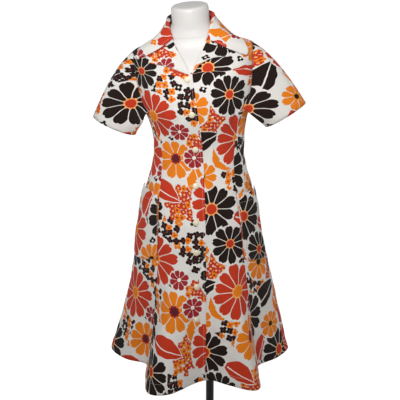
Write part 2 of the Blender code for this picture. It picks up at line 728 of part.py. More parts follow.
def button_seat(height):
    """Where a button sits on the top front's flat faces, clear of them, and the way it faces."""
    def at(column, level):
        return on_faces(right_front_row, PANEL_ROWS + ARMHOLE_ROWS, level, column)

    width = np.linalg.norm(at(FRONT_COLUMNS, height) - at(BUTTON_COLUMN, height))
    reach = BUTTON_RADIUS / width
    seat = at(BUTTON_COLUMN, height)
    rim = []
    quarter = 6
    for turn in np.linspace(0.0, 2.0 * math.pi, 4 * quarter, endpoint=False):
        rim.append(at(BUTTON_COLUMN + reach * math.cos(turn), height + BUTTON_RADIUS * math.sin(turn)))
    out = np.cross(rim[0] - rim[2 * quarter], rim[quarter] - rim[3 * quarter])
    out /= np.linalg.norm(out)
    highest = max(float((point - seat) @ out) for point in rim)
    return seat + out * (BUTTON_THREAD + max(highest, 0.0)), out


def make_buttons(collection):
    """Domed buttons down the front, each seated on the overlapping front."""
    finish = material("button_cream", CREAM, 0.25)
    top, edge = BUTTON_THICK, BUTTON_RADIUS
    profile = [(0.0, top)]
    for turn in (35.0, 65.0, 90.0):
        angle = math.radians(turn)
        height = BUTTON_RIM + (top - BUTTON_RIM) * math.cos(angle)
        profile.append((edge * math.sin(angle), height))
    profile += [(edge - BUTTON_RIM * 0.4, 0.0), (0.0, 0.0)]
    for number, height in enumerate(BUTTON_HEIGHTS, 1):
        seat, out = button_seat(height)
        button = turned(f"button_{number}", profile, 14, collection, finish)
        button.location = seat
        button.rotation_euler = facing(out)


def facing(direction):
    """The rotation that turns +Z to this direction."""
    x, y, z = direction / np.linalg.norm(direction)
    return (math.acos(z), 0.0, math.atan2(y, x) + math.pi / 2.0)


def make_form(collection):
    """The dress form: torso, neck, pole and base."""
    white = material("form_white", FORM_WHITE, 0.45)
    rings = [form_ring(height) for height in FORM_ROWS]
    loft("form_torso", rings, collection, white)
    loft("form_neck", neck_rings(), collection, white)
    black = material("stand_black", STEEL_BLACK, 0.4, 0.6)
    top = FORM_HIPS[0, 0] - CLEAR
    pole = [(0.0, top), (POLE_PLATE_RADIUS, top), (POLE_PLATE_RADIUS, top - POLE_PLATE),
            (POLE_RADIUS, top - POLE_PLATE), (POLE_RADIUS, BOSS_TOP + CLEAR), (0.0, BOSS_TOP + CLEAR)]
    turned("stand_pole", pole, 24, collection, black)
    base = [(0.0, BOSS_TOP), (BOSS_RADIUS - BASE_BEVEL, BOSS_TOP), (BOSS_RADIUS, BOSS_TOP - BASE_BEVEL),
            (BOSS_RADIUS, BASE_THICK), (BASE_RADIUS - BASE_BEVEL, BASE_THICK),
            (BASE_RADIUS, BASE_THICK - BASE_BEVEL), (BASE_RADIUS, 0.0), (0.0, 0.0)]
    turned("stand_base", base, 48, collection, black)


def make_dress(collection):
    """Every cut piece of the dress."""
    cotton = material("printed_cotton", COTTON, 0.85)
    cloth("back", back_grid(), collection, cotton)
    cloth("collar", collar_grid(), collection, cotton)
    for side, name in ((-1.0, "right"), (1.0, "left")):
        cloth(f"front_{name}", front_grid(side), collection, cotton)
        cloth(f"side_front_{name}", side_front_grid(side), collection, cotton)
        cloth(f"sleeve_{name}", sleeve_grid(side), collection, cotton, ring=True)
        cloth(f"pocket_{name}", pocket_grid(side), collection, cotton)
        cloth(f"lapel_{name}", lapel_grid(side), collection, cotton)


def main():
    for old in list(bpy.data.objects):
        bpy.data.objects.remove(old, do_unlink=True)
    collection = bpy.data.collections.new("shirt_dress")
    bpy.context.scene.collection.children.link(collection)
    make_form(collection)
    make_dress(collection)
    make_buttons(collection)


main()
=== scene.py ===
# %% [markdown]
# # A shirt dress on a dress form
#
# This lesson makes the fine surface of a printed cotton shirt dress. The plain model that it
# starts from already has every cut piece at its real size. Here each piece is made again with
# points a few millimetres apart, so that it can carry creases, seams, stitches and a print.

# %% The plain model
import math

import bpy
import numpy as np
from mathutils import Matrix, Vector


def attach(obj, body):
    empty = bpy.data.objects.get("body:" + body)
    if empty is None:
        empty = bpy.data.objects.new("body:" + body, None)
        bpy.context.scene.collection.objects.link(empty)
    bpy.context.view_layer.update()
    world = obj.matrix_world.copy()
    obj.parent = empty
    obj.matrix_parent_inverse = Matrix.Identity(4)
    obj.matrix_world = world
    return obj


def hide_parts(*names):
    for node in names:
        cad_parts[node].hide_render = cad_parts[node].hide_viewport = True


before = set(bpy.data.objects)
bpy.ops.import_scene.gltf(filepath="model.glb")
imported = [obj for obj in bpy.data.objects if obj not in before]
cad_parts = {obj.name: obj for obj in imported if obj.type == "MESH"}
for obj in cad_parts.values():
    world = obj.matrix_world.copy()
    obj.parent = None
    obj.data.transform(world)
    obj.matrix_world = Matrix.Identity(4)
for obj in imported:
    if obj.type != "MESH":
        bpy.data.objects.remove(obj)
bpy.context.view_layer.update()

# %% [markdown]
# ## The body under the cloth
#
# A worn dress is round, so every point of it is given by a height and an angle round the body: 0
# is the centre front, 90 degrees the wearer's left side. Tables hold the outline at a few heights,
# and smooth curves run between their rows. All sizes are metres. The shape could be sculpted, or
# draped by the cloth solver. Tables are chosen because every seam, pocket and layer is then worked
# out from one surface, and each size can be changed alone.

# %% Sizes of the dress
WALL = 0.0013
LAYER = 0.0006  # room between two layers of cloth
ON_PANEL = WALL + LAYER
HEM, HIP, WAIST, BREAK, NECK_SEAM = 0.385, 0.740, 1.020, 1.240, 1.352
SHOULDER_END = 1.298
SIDES = ((-1.0, "right"), (1.0, "left"))  # the wearer's

SECTIONS = np.array((
    # height  half    front   back    square
    (0.740, 0.1850, 0.1500, 0.1500, 2.05),
    (0.800, 0.1750, 0.1430, 0.1460, 2.10),
    (0.850, 0.1660, 0.1340, 0.1360, 2.10),
    (0.905, 0.1505, 0.1200, 0.1200, 2.10),
    (0.965, 0.1335, 0.1050, 0.1000, 2.10),
    (1.000, 0.1285, 0.1010, 0.0950, 2.10),
    (1.035, 0.1285, 0.1020, 0.0970, 2.10),
    (1.070, 0.1310, 0.1090, 0.1030, 2.12),
    (1.100, 0.1385, 0.1180, 0.1090, 2.15),
    (1.128, 0.1490, 0.1230, 0.1130, 2.20),
    (1.160, 0.1575, 0.1240, 0.1160, 2.25),
    (1.200, 0.1625, 0.1180, 0.1180, 2.30),
    (1.240, 0.1665, 0.1060, 0.1160, 2.30),
    (1.270, 0.1700, 0.0900, 0.1090, 2.25),
    (1.290, 0.1710, 0.0750, 0.0980, 2.15),
    (1.300, 0.1640, 0.0670, 0.0890, 2.10),
    (1.308, 0.1440, 0.0625, 0.0810, 2.10),
    (1.317, 0.1160, 0.0590, 0.0735, 2.10),
    (1.328, 0.0930, 0.0570, 0.0670, 2.10),
    (1.341, 0.0755, 0.0550, 0.0620, 2.10),
    (1.358, 0.0620, 0.0530, 0.0580, 2.10),
))
BUST_RISE, BUST_DEGREES, BUST_HEIGHT = 0.007, 38.0, 1.145
BUST_SPREAD_DEGREES, BUST_SPREAD = 20.0, 0.045

SKIRT_SWEEP, SWEEP_TO_RIGHT = 1.22, 0.26
FLUTES = np.array((
    # degrees  radius of the hem
    (-92.0, 0.266), (-66.0, 0.225), (-51.0, 0.187), (-33.0, 0.248), (-19.0, 0.321),
    (-11.0, 0.303), (-2.0, 0.243), (15.0, 0.211), (25.0, 0.255), (36.0, 0.311),
    (47.0, 0.255), (60.0, 0.210), (80.0, 0.240), (98.0, 0.268), (122.0, 0.224),
    (146.0, 0.288), (168.0, 0.240), (190.0, 0.290), (213.0, 0.228), (236.0, 0.274),
    (253.0, 0.240), (268.0, 0.266),
))
HEM_CURVE = np.vstack((FLUTES[-2] - (360.0, 0.0), FLUTES, FLUTES[1] + (360.0, 0.0)))

CENTRE_X = -0.033  # the dress's axis, beside the pole
LEAN = math.radians(4.8)
LEAN_FROM, LEAN_TO = 0.95, 1.25
print(f"hem to neck seam {NECK_SEAM - HEM:.3f} m, {len(FLUTES)} points round the hem")


# %% Curves through the tables
def curve(table, column, at):
    """A smooth curve through one column of a table, whose first column rises."""
    return through(table[:, 0], table[:, column], at)


def through(knots, values, at):
    """Smooth curves through values, one for each knot."""
    at = np.clip(np.asarray(at, float), knots[0], knots[-1])
    slopes = np.gradient(values, knots, axis=0)
    low = np.clip(np.searchsorted(knots, at, side="right") - 1, 0, len(knots) - 2)
    step = knots[low + 1] - knots[low]
    t = (at - knots[low]) / step
    extra = values.ndim - 1
    if extra:
        t, step = t.reshape(t.shape + (1,) * extra), step.reshape(step.shape + (1,) * extra)
    return (values[low] * (2 * t**3 - 3 * t**2 + 1) + slopes[low] * step * (t**3 - 2 * t**2 + t)
            + values[low + 1] * (3 * t**2 - 2 * t**3) + slopes[low + 1] * step * (t**3 - t**2))


def ease(t):
    """0 to 1 with a level start and a level end."""
    t = np.clip(t, 0.0, 1.0)
    return t * t * (3.0 - 2.0 * t)


print(f"half width at the waist {float(curve(SECTIONS, 1, WAIST)):.4f} m")


# %% The surface of the cloth
def oval(theta, half, front, back, square):
    """Distance from the axis to an oval, by its half width and depths. Square 2 is a plain oval."""
    across = np.abs(np.sin(theta) / half) ** square
    along = np.abs(np.cos(theta) / np.where(np.cos(theta) > 0.0, front, back)) ** square
    return (across + along) ** (-1.0 / square)


def bodice_radius(theta, height):
    """Distance of the cloth from the axis, above the hip."""
    half, front, back, square = (curve(SECTIONS, column, height) for column in (1, 2, 3, 4))
    off_centre = (np.abs(np.degrees(theta)) - BUST_DEGREES) / BUST_SPREAD_DEGREES
    off_height = (height - BUST_HEIGHT) / BUST_SPREAD
    bust = BUST_RISE * np.exp(-off_centre**2 - off_height**2)
    return oval(theta, half, front, back, square) + bust


def radius(theta, height):
    """Distance of the cloth from the axis. Below the hip it sweeps out to the hem's flutes."""
    theta = (np.asarray(theta, float) + math.pi) % (2.0 * math.pi) - math.pi
    height = np.asarray(height, float)
    upper = bodice_radius(theta, np.maximum(height, HIP))
    first = FLUTES[0, 0]
    hem = curve(HEM_CURVE, 1, (np.degrees(theta) - first) % 360.0 + first)
    sweep = SKIRT_SWEEP - SWEEP_TO_RIGHT * np.sin(theta)
    fall = np.clip((HIP - height) / (HIP - HEM), 0.0, 1.0) ** sweep
    return upper + fall * (hem - upper)


def upright(theta, height):
    """A point of the cloth before the form's lean."""
    r = radius(theta, height)
    return np.stack([r * np.sin(theta), -r * np.cos(theta), height + 0.0 * r], axis=-1)


def outward(theta, height):
    """The direction square to the cloth there, pointing out."""
    small = 1e-4
    across = upright(theta + small, height) - upright(theta - small, height)
    up = upright(theta, height + small) - upright(theta, height - small)
    normal = np.cross(across, up)
    return normal / np.linalg.norm(normal, axis=-1, keepdims=True)


def settled(points, leans_as=None):
    """Points moved as the form's upper half leans. leans_as is the height whose lean they take."""
    pivot = points[..., 2] if leans_as is None else leans_as
    t = np.clip((pivot - LEAN_FROM) / (LEAN_TO - LEAN_FROM), 0.0, 1.0)
    lean = LEAN * ease(t)
    shift = LEAN * ((LEAN_TO - LEAN_FROM) * (t**3 - t**4 / 2.0) + np.maximum(pivot - LEAN_TO, 0.0))
    x, rise = points[..., 0], points[..., 2] - pivot
    moved_x = CENTRE_X - shift + x * np.cos(lean) - rise * np.sin(lean)
    moved_z = pivot + x * np.sin(lean) + rise * np.cos(lean)
    return np.stack([moved_x, points[..., 1], moved_z], axis=-1)


print(f"round the waist {2 * math.pi * float(radius(np.linspace(0, 6.28, 90), WAIST).mean()):.3f} m")

# %% [markdown]
# ## Creases
#
# Cotton on a form isn't as smooth as the curves above. It has a few long soft folds where it
# hangs free, short ones where a seam pulls, and a slight slackness everywhere. The cloth solver
# could find some of them, but it would move the outline too. So each crease here is a line with a
# depth and a width. It fades at its ends, and it moves every layer that lies there.

# %% The creases
CREASES = np.array((
    # from: degrees, height; to: degrees, height; bow to the side; out (minus is in); width
    (49.0, 1.190, 54.0, 1.060, 0.004, -0.0032, 0.008),
    (54.0, 1.178, 60.0, 1.070, 0.002, 0.0016, 0.012),
    (-50.0, 1.100, -52.0, 1.035, -0.003, -0.0022, 0.008),
    (-57.0, 1.150, -58.0, 1.020, 0.003, 0.0012, 0.012),
    (70.0, 1.170, 48.0, 1.215, 0.004, -0.0020, 0.010),
    (-72.0, 1.165, -50.0, 1.215, -0.004, -0.0020, 0.010),
    (-66.0, 1.130, -40.0, 1.160, -0.003, -0.0014, 0.010),
    (62.0, 1.020, 92.0, 0.985, 0.003, -0.0018, 0.011),
    (66.0, 1.000, 88.0, 0.960, 0.003, 0.0012, 0.013),
    (-64.0, 1.010, -96.0, 0.990, -0.003, -0.0018, 0.011),
    (24.0, 0.600, 21.0, 0.420, 0.004, 0.0030, 0.016),
    (52.0, 0.620, 55.0, 0.400, -0.006, -0.0060, 0.013),
    (58.0, 0.640, 62.0, 0.410, 0.004, 0.0040, 0.018),
    (-38.0, 0.600, -43.0, 0.395, 0.006, -0.0050, 0.014),
    (-30.0, 0.560, -29.0, 0.400, -0.004, 0.0030, 0.018),
    (2.0, 0.620, 6.0, 0.420, 0.005, -0.0025, 0.020),
    (-80.0, 0.620, -78.0, 0.410, -0.005, -0.0040, 0.016),
    (112.0, 0.640, 116.0, 0.400, 0.006, -0.0045, 0.018),
    (132.0, 0.620, 137.0, 0.410, -0.004, 0.0035, 0.020),
    (176.0, 0.640, 172.0, 0.420, 0.006, -0.0040, 0.018),
    (204.0, 0.600, 208.0, 0.400, -0.006, -0.0045, 0.018),
    (224.0, 0.640, 228.0, 0.420, 0.004, 0.0035, 0.020),
    (248.0, 0.610, 250.0, 0.400, 0.005, -0.0040, 0.016),
    (118.0, 1.000, 158.0, 1.020, 0.005, -0.0022, 0.012),
    (124.0, 0.980, 166.0, 0.990, 0.004, 0.0014, 0.014),
    (240.0, 1.000, 198.0, 1.022, -0.005, -0.0022, 0.012),
    (235.0, 0.976, 190.0, 0.984, -0.004, 0.0014, 0.014),
    (150.0, 1.150, 172.0, 1.235, 0.004, -0.0018, 0.014),
    (210.0, 1.155, 190.0, 1.240, -0.004, -0.0018, 0.014),
    (108.0, 1.150, 128.0, 1.215, 0.003, -0.0018, 0.012),
    (252.0, 1.150, 232.0, 1.215, -0.003, -0.0018, 0.012),
))
CREASE_END = 0.30  # share of a crease over which it fades
CREASE_ARM = 0.15  # metres from the axis, at which degrees are turned to metres
CREASES_FROM = -100.0  # degrees: the angles above run once round from here
SLACK = (0.0005, 0.0004, 0.0003)
SLACK_WAVES = np.array((
    # times round the body, waves a metre up, start
    (7.0, 9.0, 0.3),
    (13.0, -17.0, 2.1),
    (24.0, 21.0, 4.0),
))
SLACK_TOP, SLACK_FADE = 1.27, 0.03  # the cloth is stretched smooth over the shoulders
print("creases", len(CREASES))


# %% Cloth that creases
def crease(x, z, to_x, to_z, bow, out, width):
    """How far one crease, from 0, 0 to its end, moves the cloth out at each place."""
    length = math.hypot(to_x, to_z)
    t = (x * to_x + z * to_z) / length**2
    off = (x * to_z - z * to_x) / length - bow * 4.0 * t * (1.0 - t)
    fade = ease(t / CREASE_END) * ease((1.0 - t) / CREASE_END)
    return out * fade * np.exp(-(off / width) ** 2)


def crease_lift(theta, height):
    """How far the creases move the cloth out there."""
    degrees = (np.degrees(theta) - CREASES_FROM) % 360.0 + CREASES_FROM
    lift = np.zeros(np.broadcast(theta, height).shape)
    for size, (turns, waves, start) in zip(SLACK, SLACK_WAVES):
        lift += size * np.sin(turns * theta + 2.0 * math.pi * waves * height + start)
    lift *= 1.0 - ease((height - SLACK_TOP) / SLACK_FADE)
    for from_deg, from_z, to_deg, to_z, bow, out, width in CREASES:
        x, to_x = np.radians(degrees - from_deg), math.radians(to_deg - from_deg)
        lift += crease(x * CREASE_ARM, height - from_z, to_x * CREASE_ARM, to_z - from_z, bow, out, width)
    return lift


def cloth_point(theta, height, lift=0.0):
    """A point of the worn cloth, moved out from its surface by lift."""
    theta, height = np.broadcast_arrays(np.asarray(theta, float), np.asarray(height, float))
    lift = np.asarray(lift) + crease_lift(theta, height)
    return settled(upright(theta, height) + outward(theta, height) * lift[..., None])


def angle_at(sideways, height):
    """The angle near the front at which the cloth is this far sideways of the centre."""
    sideways, height = np.broadcast_arrays(np.asarray(sideways, float), np.asarray(height, float))
    low, high = np.zeros(sideways.shape), np.full(sideways.shape, math.pi / 2.0)
    side = np.sign(sideways)
    for _ in range(30):
        middle = (low + high) / 2.0
        near = radius(side * middle, height) * np.sin(middle) < np.abs(sideways)
        low, high = np.where(near, middle, low), np.where(near, high, middle)
    return side * low


print("centre front at the waist", cloth_point(0.0, WAIST).round(4))

# %% [markdown]
# ## Sheets of cloth from grids
#
# Each cut piece is a grid of points. A grid becomes a mesh of four-sided faces, and its UV map is
# the flat piece: the lengths along its rows and columns, in metres. The print and the weave then
# lie on the cloth as on a real cut piece, and break at each seam. A flat sheet could be draped
# instead, but a grid keeps each edge exactly on its seam. Solidify gives the wall.

# %% Grids of points
def spans(points, axis):
    """Distances from the first point along one axis of a grid."""
    steps = np.linalg.norm(np.diff(points, axis=axis), axis=-1)
    start = np.zeros_like(np.take(steps, [0], axis=axis))
    return np.concatenate([start, np.cumsum(steps, axis=axis)], axis=axis)


def flat_sizes(grid, column):
    """The flat place in metres of each point: across from one column, and up along it."""
    across = spans(grid, 1)
    up = spans(grid[:, column], 0)
    return np.stack([across - across[:, [column]], np.tile(up[:, None], (1, grid.shape[1]))], axis=-1)


def grid_area(grid):
    """Area of a grid's faces."""
    one = np.cross(grid[1:, 1:] - grid[:-1, :-1], grid[1:, :-1] - grid[:-1, 1:])
    return float(np.linalg.norm(one, axis=-1).sum() / 2.0)


def refined(grid, axis, step):
    """The same sheet with points a step apart along one axis, on smooth curves through its own."""
    points = np.moveaxis(grid, axis, 0)
    lengths = np.linalg.norm(np.diff(points[..., :3], axis=0), axis=-1).mean(axis=1)
    knots = np.concatenate([[0.0], np.cumsum(lengths)])
    at = np.linspace(0.0, knots[-1], max(2, round(knots[-1] / step)) + 1)
    return np.moveaxis(through(knots, points, at), 0, axis)


TILE = np.array([[(0.0, 0.0, 0.0), (1.0, 0.0, 0.0)], [(0.0, 1.0, 0.0), (1.0, 1.0, 0.0)]])
print("a square of 1 m measures", grid_area(TILE), "m2")


# %% From grid to mesh
def new_object(name, data):
    """An object in the scene, at the origin."""
    made = bpy.data.objects.new(name, data)
    bpy.context.scene.collection.objects.link(made)
    return made


def mesh_from_grid(name, grid, flat=None, ring=False, closed=False):
    """A mesh object of four-sided faces. A ring's last column is its first one again."""
    rows, columns = grid.shape[:2]
    kept = columns - 1 if ring else columns
    points = grid[:, :kept].reshape(-1, 3)
    faces, corners = [], []
    for row in range(rows - 1):
        for column in range(columns - 1):
            face = ((row, column), (row, column + 1), (row + 1, column + 1), (row + 1, column))
            faces.append([r * kept + c % kept for r, c in face])
            corners += face
    if closed:
        last = (rows - 1) * kept
        faces += [list(range(kept))[::-1], list(range(last, last + kept))]
    mesh = bpy.data.meshes.new(name)
    mesh.from_pydata(points.tolist(), [], faces)
    if flat is not None:
        rows_at, columns_at = np.array(corners).T
        mesh.uv_layers.new(name="flat").data.foreach_set("uv", flat[rows_at, columns_at].ravel())
    mesh.shade_smooth()
    return new_object(name, mesh)


# %% Cut pieces
CUT_AREAS = {}


def cloth(name, grid, flat, ring=False, cut_at=(0.0, 0.0)):
    """A cut piece: the wall over its grid, in place of the plain node of this name."""
    width, length = np.ptp(flat[..., 0]), np.ptp(flat[..., 1])
    area = min(grid_area(grid), float(width * length))
    piece = mesh_from_grid(f"{name}_cloth", grid, flat + np.array(cut_at), ring)
    piece.data.materials.append(COTTON)
    piece.data.materials.append(COTTON_WRONG_SIDE)
    wall = piece.modifiers.new("wall", "SOLIDIFY")
    wall.thickness = WALL
    wall.offset = -1.0
    wall.material_offset = 1
    wall.material_offset_rim = 0
    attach(piece, "root")
    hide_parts(name)
    CUT_AREAS[name] = area
    print(f"{name}: {width:.3f} x {length:.3f} m flat, {area:.4f} m2, {len(piece.data.polygons)} faces")
    return piece


# %% [markdown]
# ## Nodes
#
# Every material and every geometry node tree below is built by the script. One function adds a
# node, sets it up and links it, and returns one of its outputs, so that a chain of nodes reads
# like a sum.

# %% A node and its links
MATH, VECTOR, MIX, GROUP = "ShaderNodeMath", "ShaderNodeVectorMath", "ShaderNodeMix", "ShaderNodeGroup"
# A Mix node that lays the colour on input 7 over the one on input 6, where its first input is 1
OVER = {"data_type": "RGBA", "out": 2}


def node(tree, kind, *values, out=0, **settings):
    """Adds a node. Values go to its inputs in order, and settings to the node. Returns one output.

    A value is a number, a colour, another node's output, or None for an input that is left as it
    is. A dictionary at the end gives inputs by name.
    """
    made = tree.nodes.new(kind)
    for key, value in settings.items():
        setattr(made, key, value)
    named = values[-1] if values and isinstance(values[-1], dict) else {}
    in_order = values[:-1] if named else values
    for key, value in list(enumerate(in_order)) + list(named.items()):
        if isinstance(value, bpy.types.NodeSocket):
            tree.links.new(value, made.inputs[key])
        elif value is not None:
            made.inputs[key].default_value = value
    return made.outputs[out] if made.outputs else None


def new_group(name, kind, inputs, output):
    """A new node group with named inputs and one output. Returns it and what it is given."""
    tree = bpy.data.node_groups.new(name, kind)
    for socket, shape in inputs.items():
        tree.interface.new_socket(socket, in_out="INPUT", socket_type=f"NodeSocket{shape}")
    tree.interface.new_socket(output, in_out="OUTPUT", socket_type=f"NodeSocket{output}")
    return tree, tree.nodes.new("NodeGroupInput").outputs


def linear(code):
    """An sRGB hex colour as linear red, green, blue and alpha."""
    channels = [int(code[place:place + 2], 16) / 255.0 for place in (1, 3, 5)]
    return (*[c / 12.92 if c <= 0.04045 else ((c + 0.055) / 1.055) ** 2.4 for c in channels], 1.0)


def new_material(name):
    """A material and its node tree, which is empty."""
    made = bpy.data.materials.new(name)
    made.use_nodes = True
    made.node_tree.nodes.clear()
    return made, made.node_tree


print("off-white", [round(c, 3) for c in linear("#EEEAE4")])

# %% [markdown]
# ## The print
#
# The cotton is screen printed in flat inks: big daisies, leaves, heads of small blossoms and
# sprinkled four-petalled flowers, in red, orange and dark brown on off-white. The design here is a
# plain one of its own, laid out by the tables. It repeats every 0.42 m, as a roll of cloth would.
# A picture could be wrapped on the cloth, but nodes stay sharp at any distance and need no file.
# Each motif is a group of nodes that takes the colour so far and returns it with the motif painted
# on, so the whole print is a chain, last ink on top.

# %% Sizes and inks of the print
REPEAT = 0.42
OFF_WHITE, RED, ORANGE, BROWN = "#EEEAE4", "#CE3B20", "#F58618", "#241712"
PALE, PALE_ORANGE, PURPLE_RED, DARK_RED, YELLOW = "#F6EDE4", "#F7B26E", "#64222B", "#A82A2E", "#F5A12A"
DAISIES = (
    # across, up, radius, petals, turn; petals, eye, ring round it
    (0.085, 0.095, 0.075, 11, 0.20, RED, ORANGE, PALE_ORANGE),
    (0.236, 0.152, 0.070, 10, 0.55, BROWN, RED, PALE_ORANGE),
    (0.318, 0.338, 0.073, 11, 0.80, RED, ORANGE, PALE_ORANGE),
    (0.105, 0.300, 0.069, 10, 0.10, BROWN, RED, PALE_ORANGE),
    (0.183, 0.020, 0.050, 9, 0.35, ORANGE, BROWN, YELLOW),
    (0.382, 0.208, 0.055, 9, 0.70, ORANGE, PURPLE_RED, DARK_RED),
    (0.209, 0.243, 0.040, 8, 0.15, ORANGE, BROWN, YELLOW),
    (0.292, 0.050, 0.054, 10, 0.30, BROWN, RED, PALE_ORANGE),
    (0.016, 0.214, 0.029, 8, 0.40, DARK_RED, PALE, DARK_RED),
    (0.398, 0.292, 0.027, 8, 0.60, DARK_RED, PALE, DARK_RED),
)
LEAVES = (
    # across, up, length, half width, turn in degrees, ink
    (0.158, 0.186, 0.110, 0.024, 62.0, RED),
    (0.350, 0.116, 0.108, 0.025, -22.0, RED),
    (0.020, 0.152, 0.100, 0.023, 104.0, ORANGE),
    (0.202, 0.342, 0.124, 0.028, 28.0, BROWN),
    (0.258, 0.290, 0.086, 0.021, 118.0, ORANGE),
)
CLUSTERS = (
    # across, up, radius
    (0.356, 0.002, 0.044),
    (0.028, 0.372, 0.055),
    (0.306, 0.232, 0.040),
    (0.156, 0.392, 0.040),
    (0.152, 0.166, 0.034),
)
HEADS = (
    (0.408, 0.084, 0.050),
    (0.242, 0.412, 0.044),
    (0.036, 0.258, 0.038),
)
FLORETS = (
    # where, cell, order, reach as a share of the cell; first ink, other ink, its share, middles
    (CLUSTERS, 0.0188, 0.45, 0.58, BROWN, ORANGE, 0.36, PURPLE_RED, RED),
    (HEADS, 0.0165, 0.50, 0.70, RED, ORANGE, 0.42, PALE_ORANGE, DARK_RED),
)
SPRINKLE_CELL, SPRINKLE_ORDER, SPRINKLE_REACH, SPRINKLE_SHARE = 0.0345, 0.65, 0.32, 0.88
SPRINKLE_BRIGHT, SPRINKLE_ORANGE = 0.55, 0.45  # shares that aren't brown, and of those, orange
SPRINKLE_CLEAR = 0.003  # metres between a sprinkled flower's middle and the big motifs
LEAF_SPREAD = 0.40  # a leaf keeps sprinkles out of a circle of this share of its length
WANDER, WANDER_SCALE = 0.004, 40.0  # how far an ink's edge strays, and how often a metre
print(len(DAISIES), "daisies and", len(LEAVES), "leaves in each repeat of", REPEAT, "m")


# %% Daisies
# Shares of the daisy's radius, or of a petal's width where the name says across
PETAL_SCALE, PETAL_VARIES = 0.93, 0.14  # a petal's length is the radius over 0.93 to 1.07
DENT, DENT_NARROW = 0.055, 9.0
TIP_FROM, TIP_ROUND, ROUND_ACROSS, PETAL_EDGE = 0.55, 2.4, 2.2, 0.97
PETAL_GAP, BARE_TO = 0.026, 1.045  # bare cloth between petals, and how far out it goes
RING, RING_TICKS, EYE = 0.225, 0.16, 0.20


def away_from(tree, at, middle):
    """The way from a motif's middle, in the repeat that is nearest."""
    way = node(tree, VECTOR, at, middle, operation="SUBTRACT")
    half = REPEAT / 2.0
    return node(tree, VECTOR, way, (half, half, half), (-half, -half, -half), operation="WRAP")


def daisy_group():
    """A daisy: petals with a dented tip and a thin gap between them, a ring and an eye."""
    tree, given = new_group("daisy", "ShaderNodeTree", {
        "Below": "Color", "At": "Vector", "Middle": "Vector", "Radius": "Float", "Petals": "Float",
        "Turn": "Float", "Petal": "Color", "Eye": "Color", "Ring": "Color"}, "Color")
    way = away_from(tree, given["At"], given["Middle"])
    x = node(tree, "ShaderNodeSeparateXYZ", way)
    distance = node(tree, VECTOR, way, operation="LENGTH", out="Value")
    share = node(tree, MATH, distance, given["Radius"], operation="DIVIDE")
    angle = node(tree, MATH, x.node.outputs[1], x, operation="ARCTAN2")
    in_a_turn = node(tree, MATH, given["Petals"], 2.0 * math.pi, operation="DIVIDE")
    count = node(tree, MATH, angle, in_a_turn, given["Turn"], operation="MULTIPLY_ADD")
    off = node(tree, MATH, count, 0.5, operation="PINGPONG")
    which = node(tree, MATH, count, operation="ROUND")
    chance = node(tree, "ShaderNodeTexWhiteNoise", {"W": which}, noise_dimensions="1D")
    longer = node(tree, MATH, chance, PETAL_VARIES, PETAL_SCALE, operation="MULTIPLY_ADD")
    longer = node(tree, MATH, share, longer, operation="MULTIPLY")
    dent = node(tree, MATH, off, -DENT_NARROW, 1.0, operation="MULTIPLY_ADD")
    dent = node(tree, MATH, dent, 0.0, operation="MAXIMUM")
    dented = node(tree, MATH, dent, DENT, longer, operation="MULTIPLY_ADD")
    tip = node(tree, "ShaderNodeMapRange", dented, TIP_FROM, 1.0)
    tip = node(tree, MATH, tip, TIP_ROUND, operation="POWER")
    side = node(tree, MATH, off, 2.0, operation="MULTIPLY")
    side = node(tree, MATH, side, ROUND_ACROSS, operation="POWER")
    round_end = node(tree, MATH, tip, side, operation="ADD")
    petal = node(tree, MATH, round_end, PETAL_EDGE, operation="LESS_THAN")
    gap = node(tree, MATH, 0.5, off, operation="SUBTRACT")
    gap = node(tree, MATH, gap, share, operation="MULTIPLY")
    gap = node(tree, MATH, gap, PETAL_GAP, operation="GREATER_THAN")
    petal = node(tree, MATH, petal, gap, operation="MULTIPLY")
    bare = node(tree, MATH, longer, BARE_TO, operation="LESS_THAN")
    colour = node(tree, MIX, bare, {6: given["Below"], 7: linear(OFF_WHITE)}, **OVER)
    colour = node(tree, MIX, petal, {6: colour, 7: given["Petal"]}, **OVER)
    ring = node(tree, MATH, off, RING_TICKS, RING, operation="MULTIPLY_ADD")
    ring = node(tree, MATH, share, ring, operation="LESS_THAN")
    colour = node(tree, MIX, ring, {6: colour, 7: given["Ring"]}, **OVER)
    eye = node(tree, MATH, share, EYE, operation="LESS_THAN")
    colour = node(tree, MIX, eye, {6: colour, 7: given["Eye"]}, **OVER)
    node(tree, "NodeGroupOutput", colour)
    return tree


DAISY = daisy_group()
print("nodes in a daisy", len(DAISY.nodes))

# %% Leaves
# Shares of the leaf's length and half width
LEAF_BEND, LEAF_FULL, LEAF_TAPER = 1.5, 1.3, 0.5
RIPPLES, RIPPLE = 24.0, 0.03
LEAF_BARE, LEAF_BARE_TO = 0.10, 0.27  # bare cloth round the leaf, and how far along, squared
RIB_CURL, RIB_BENDS, RIB_THICK, RIB_THINS, RIB_FROM = 0.30, 3.6, 0.085, 0.05, 0.12


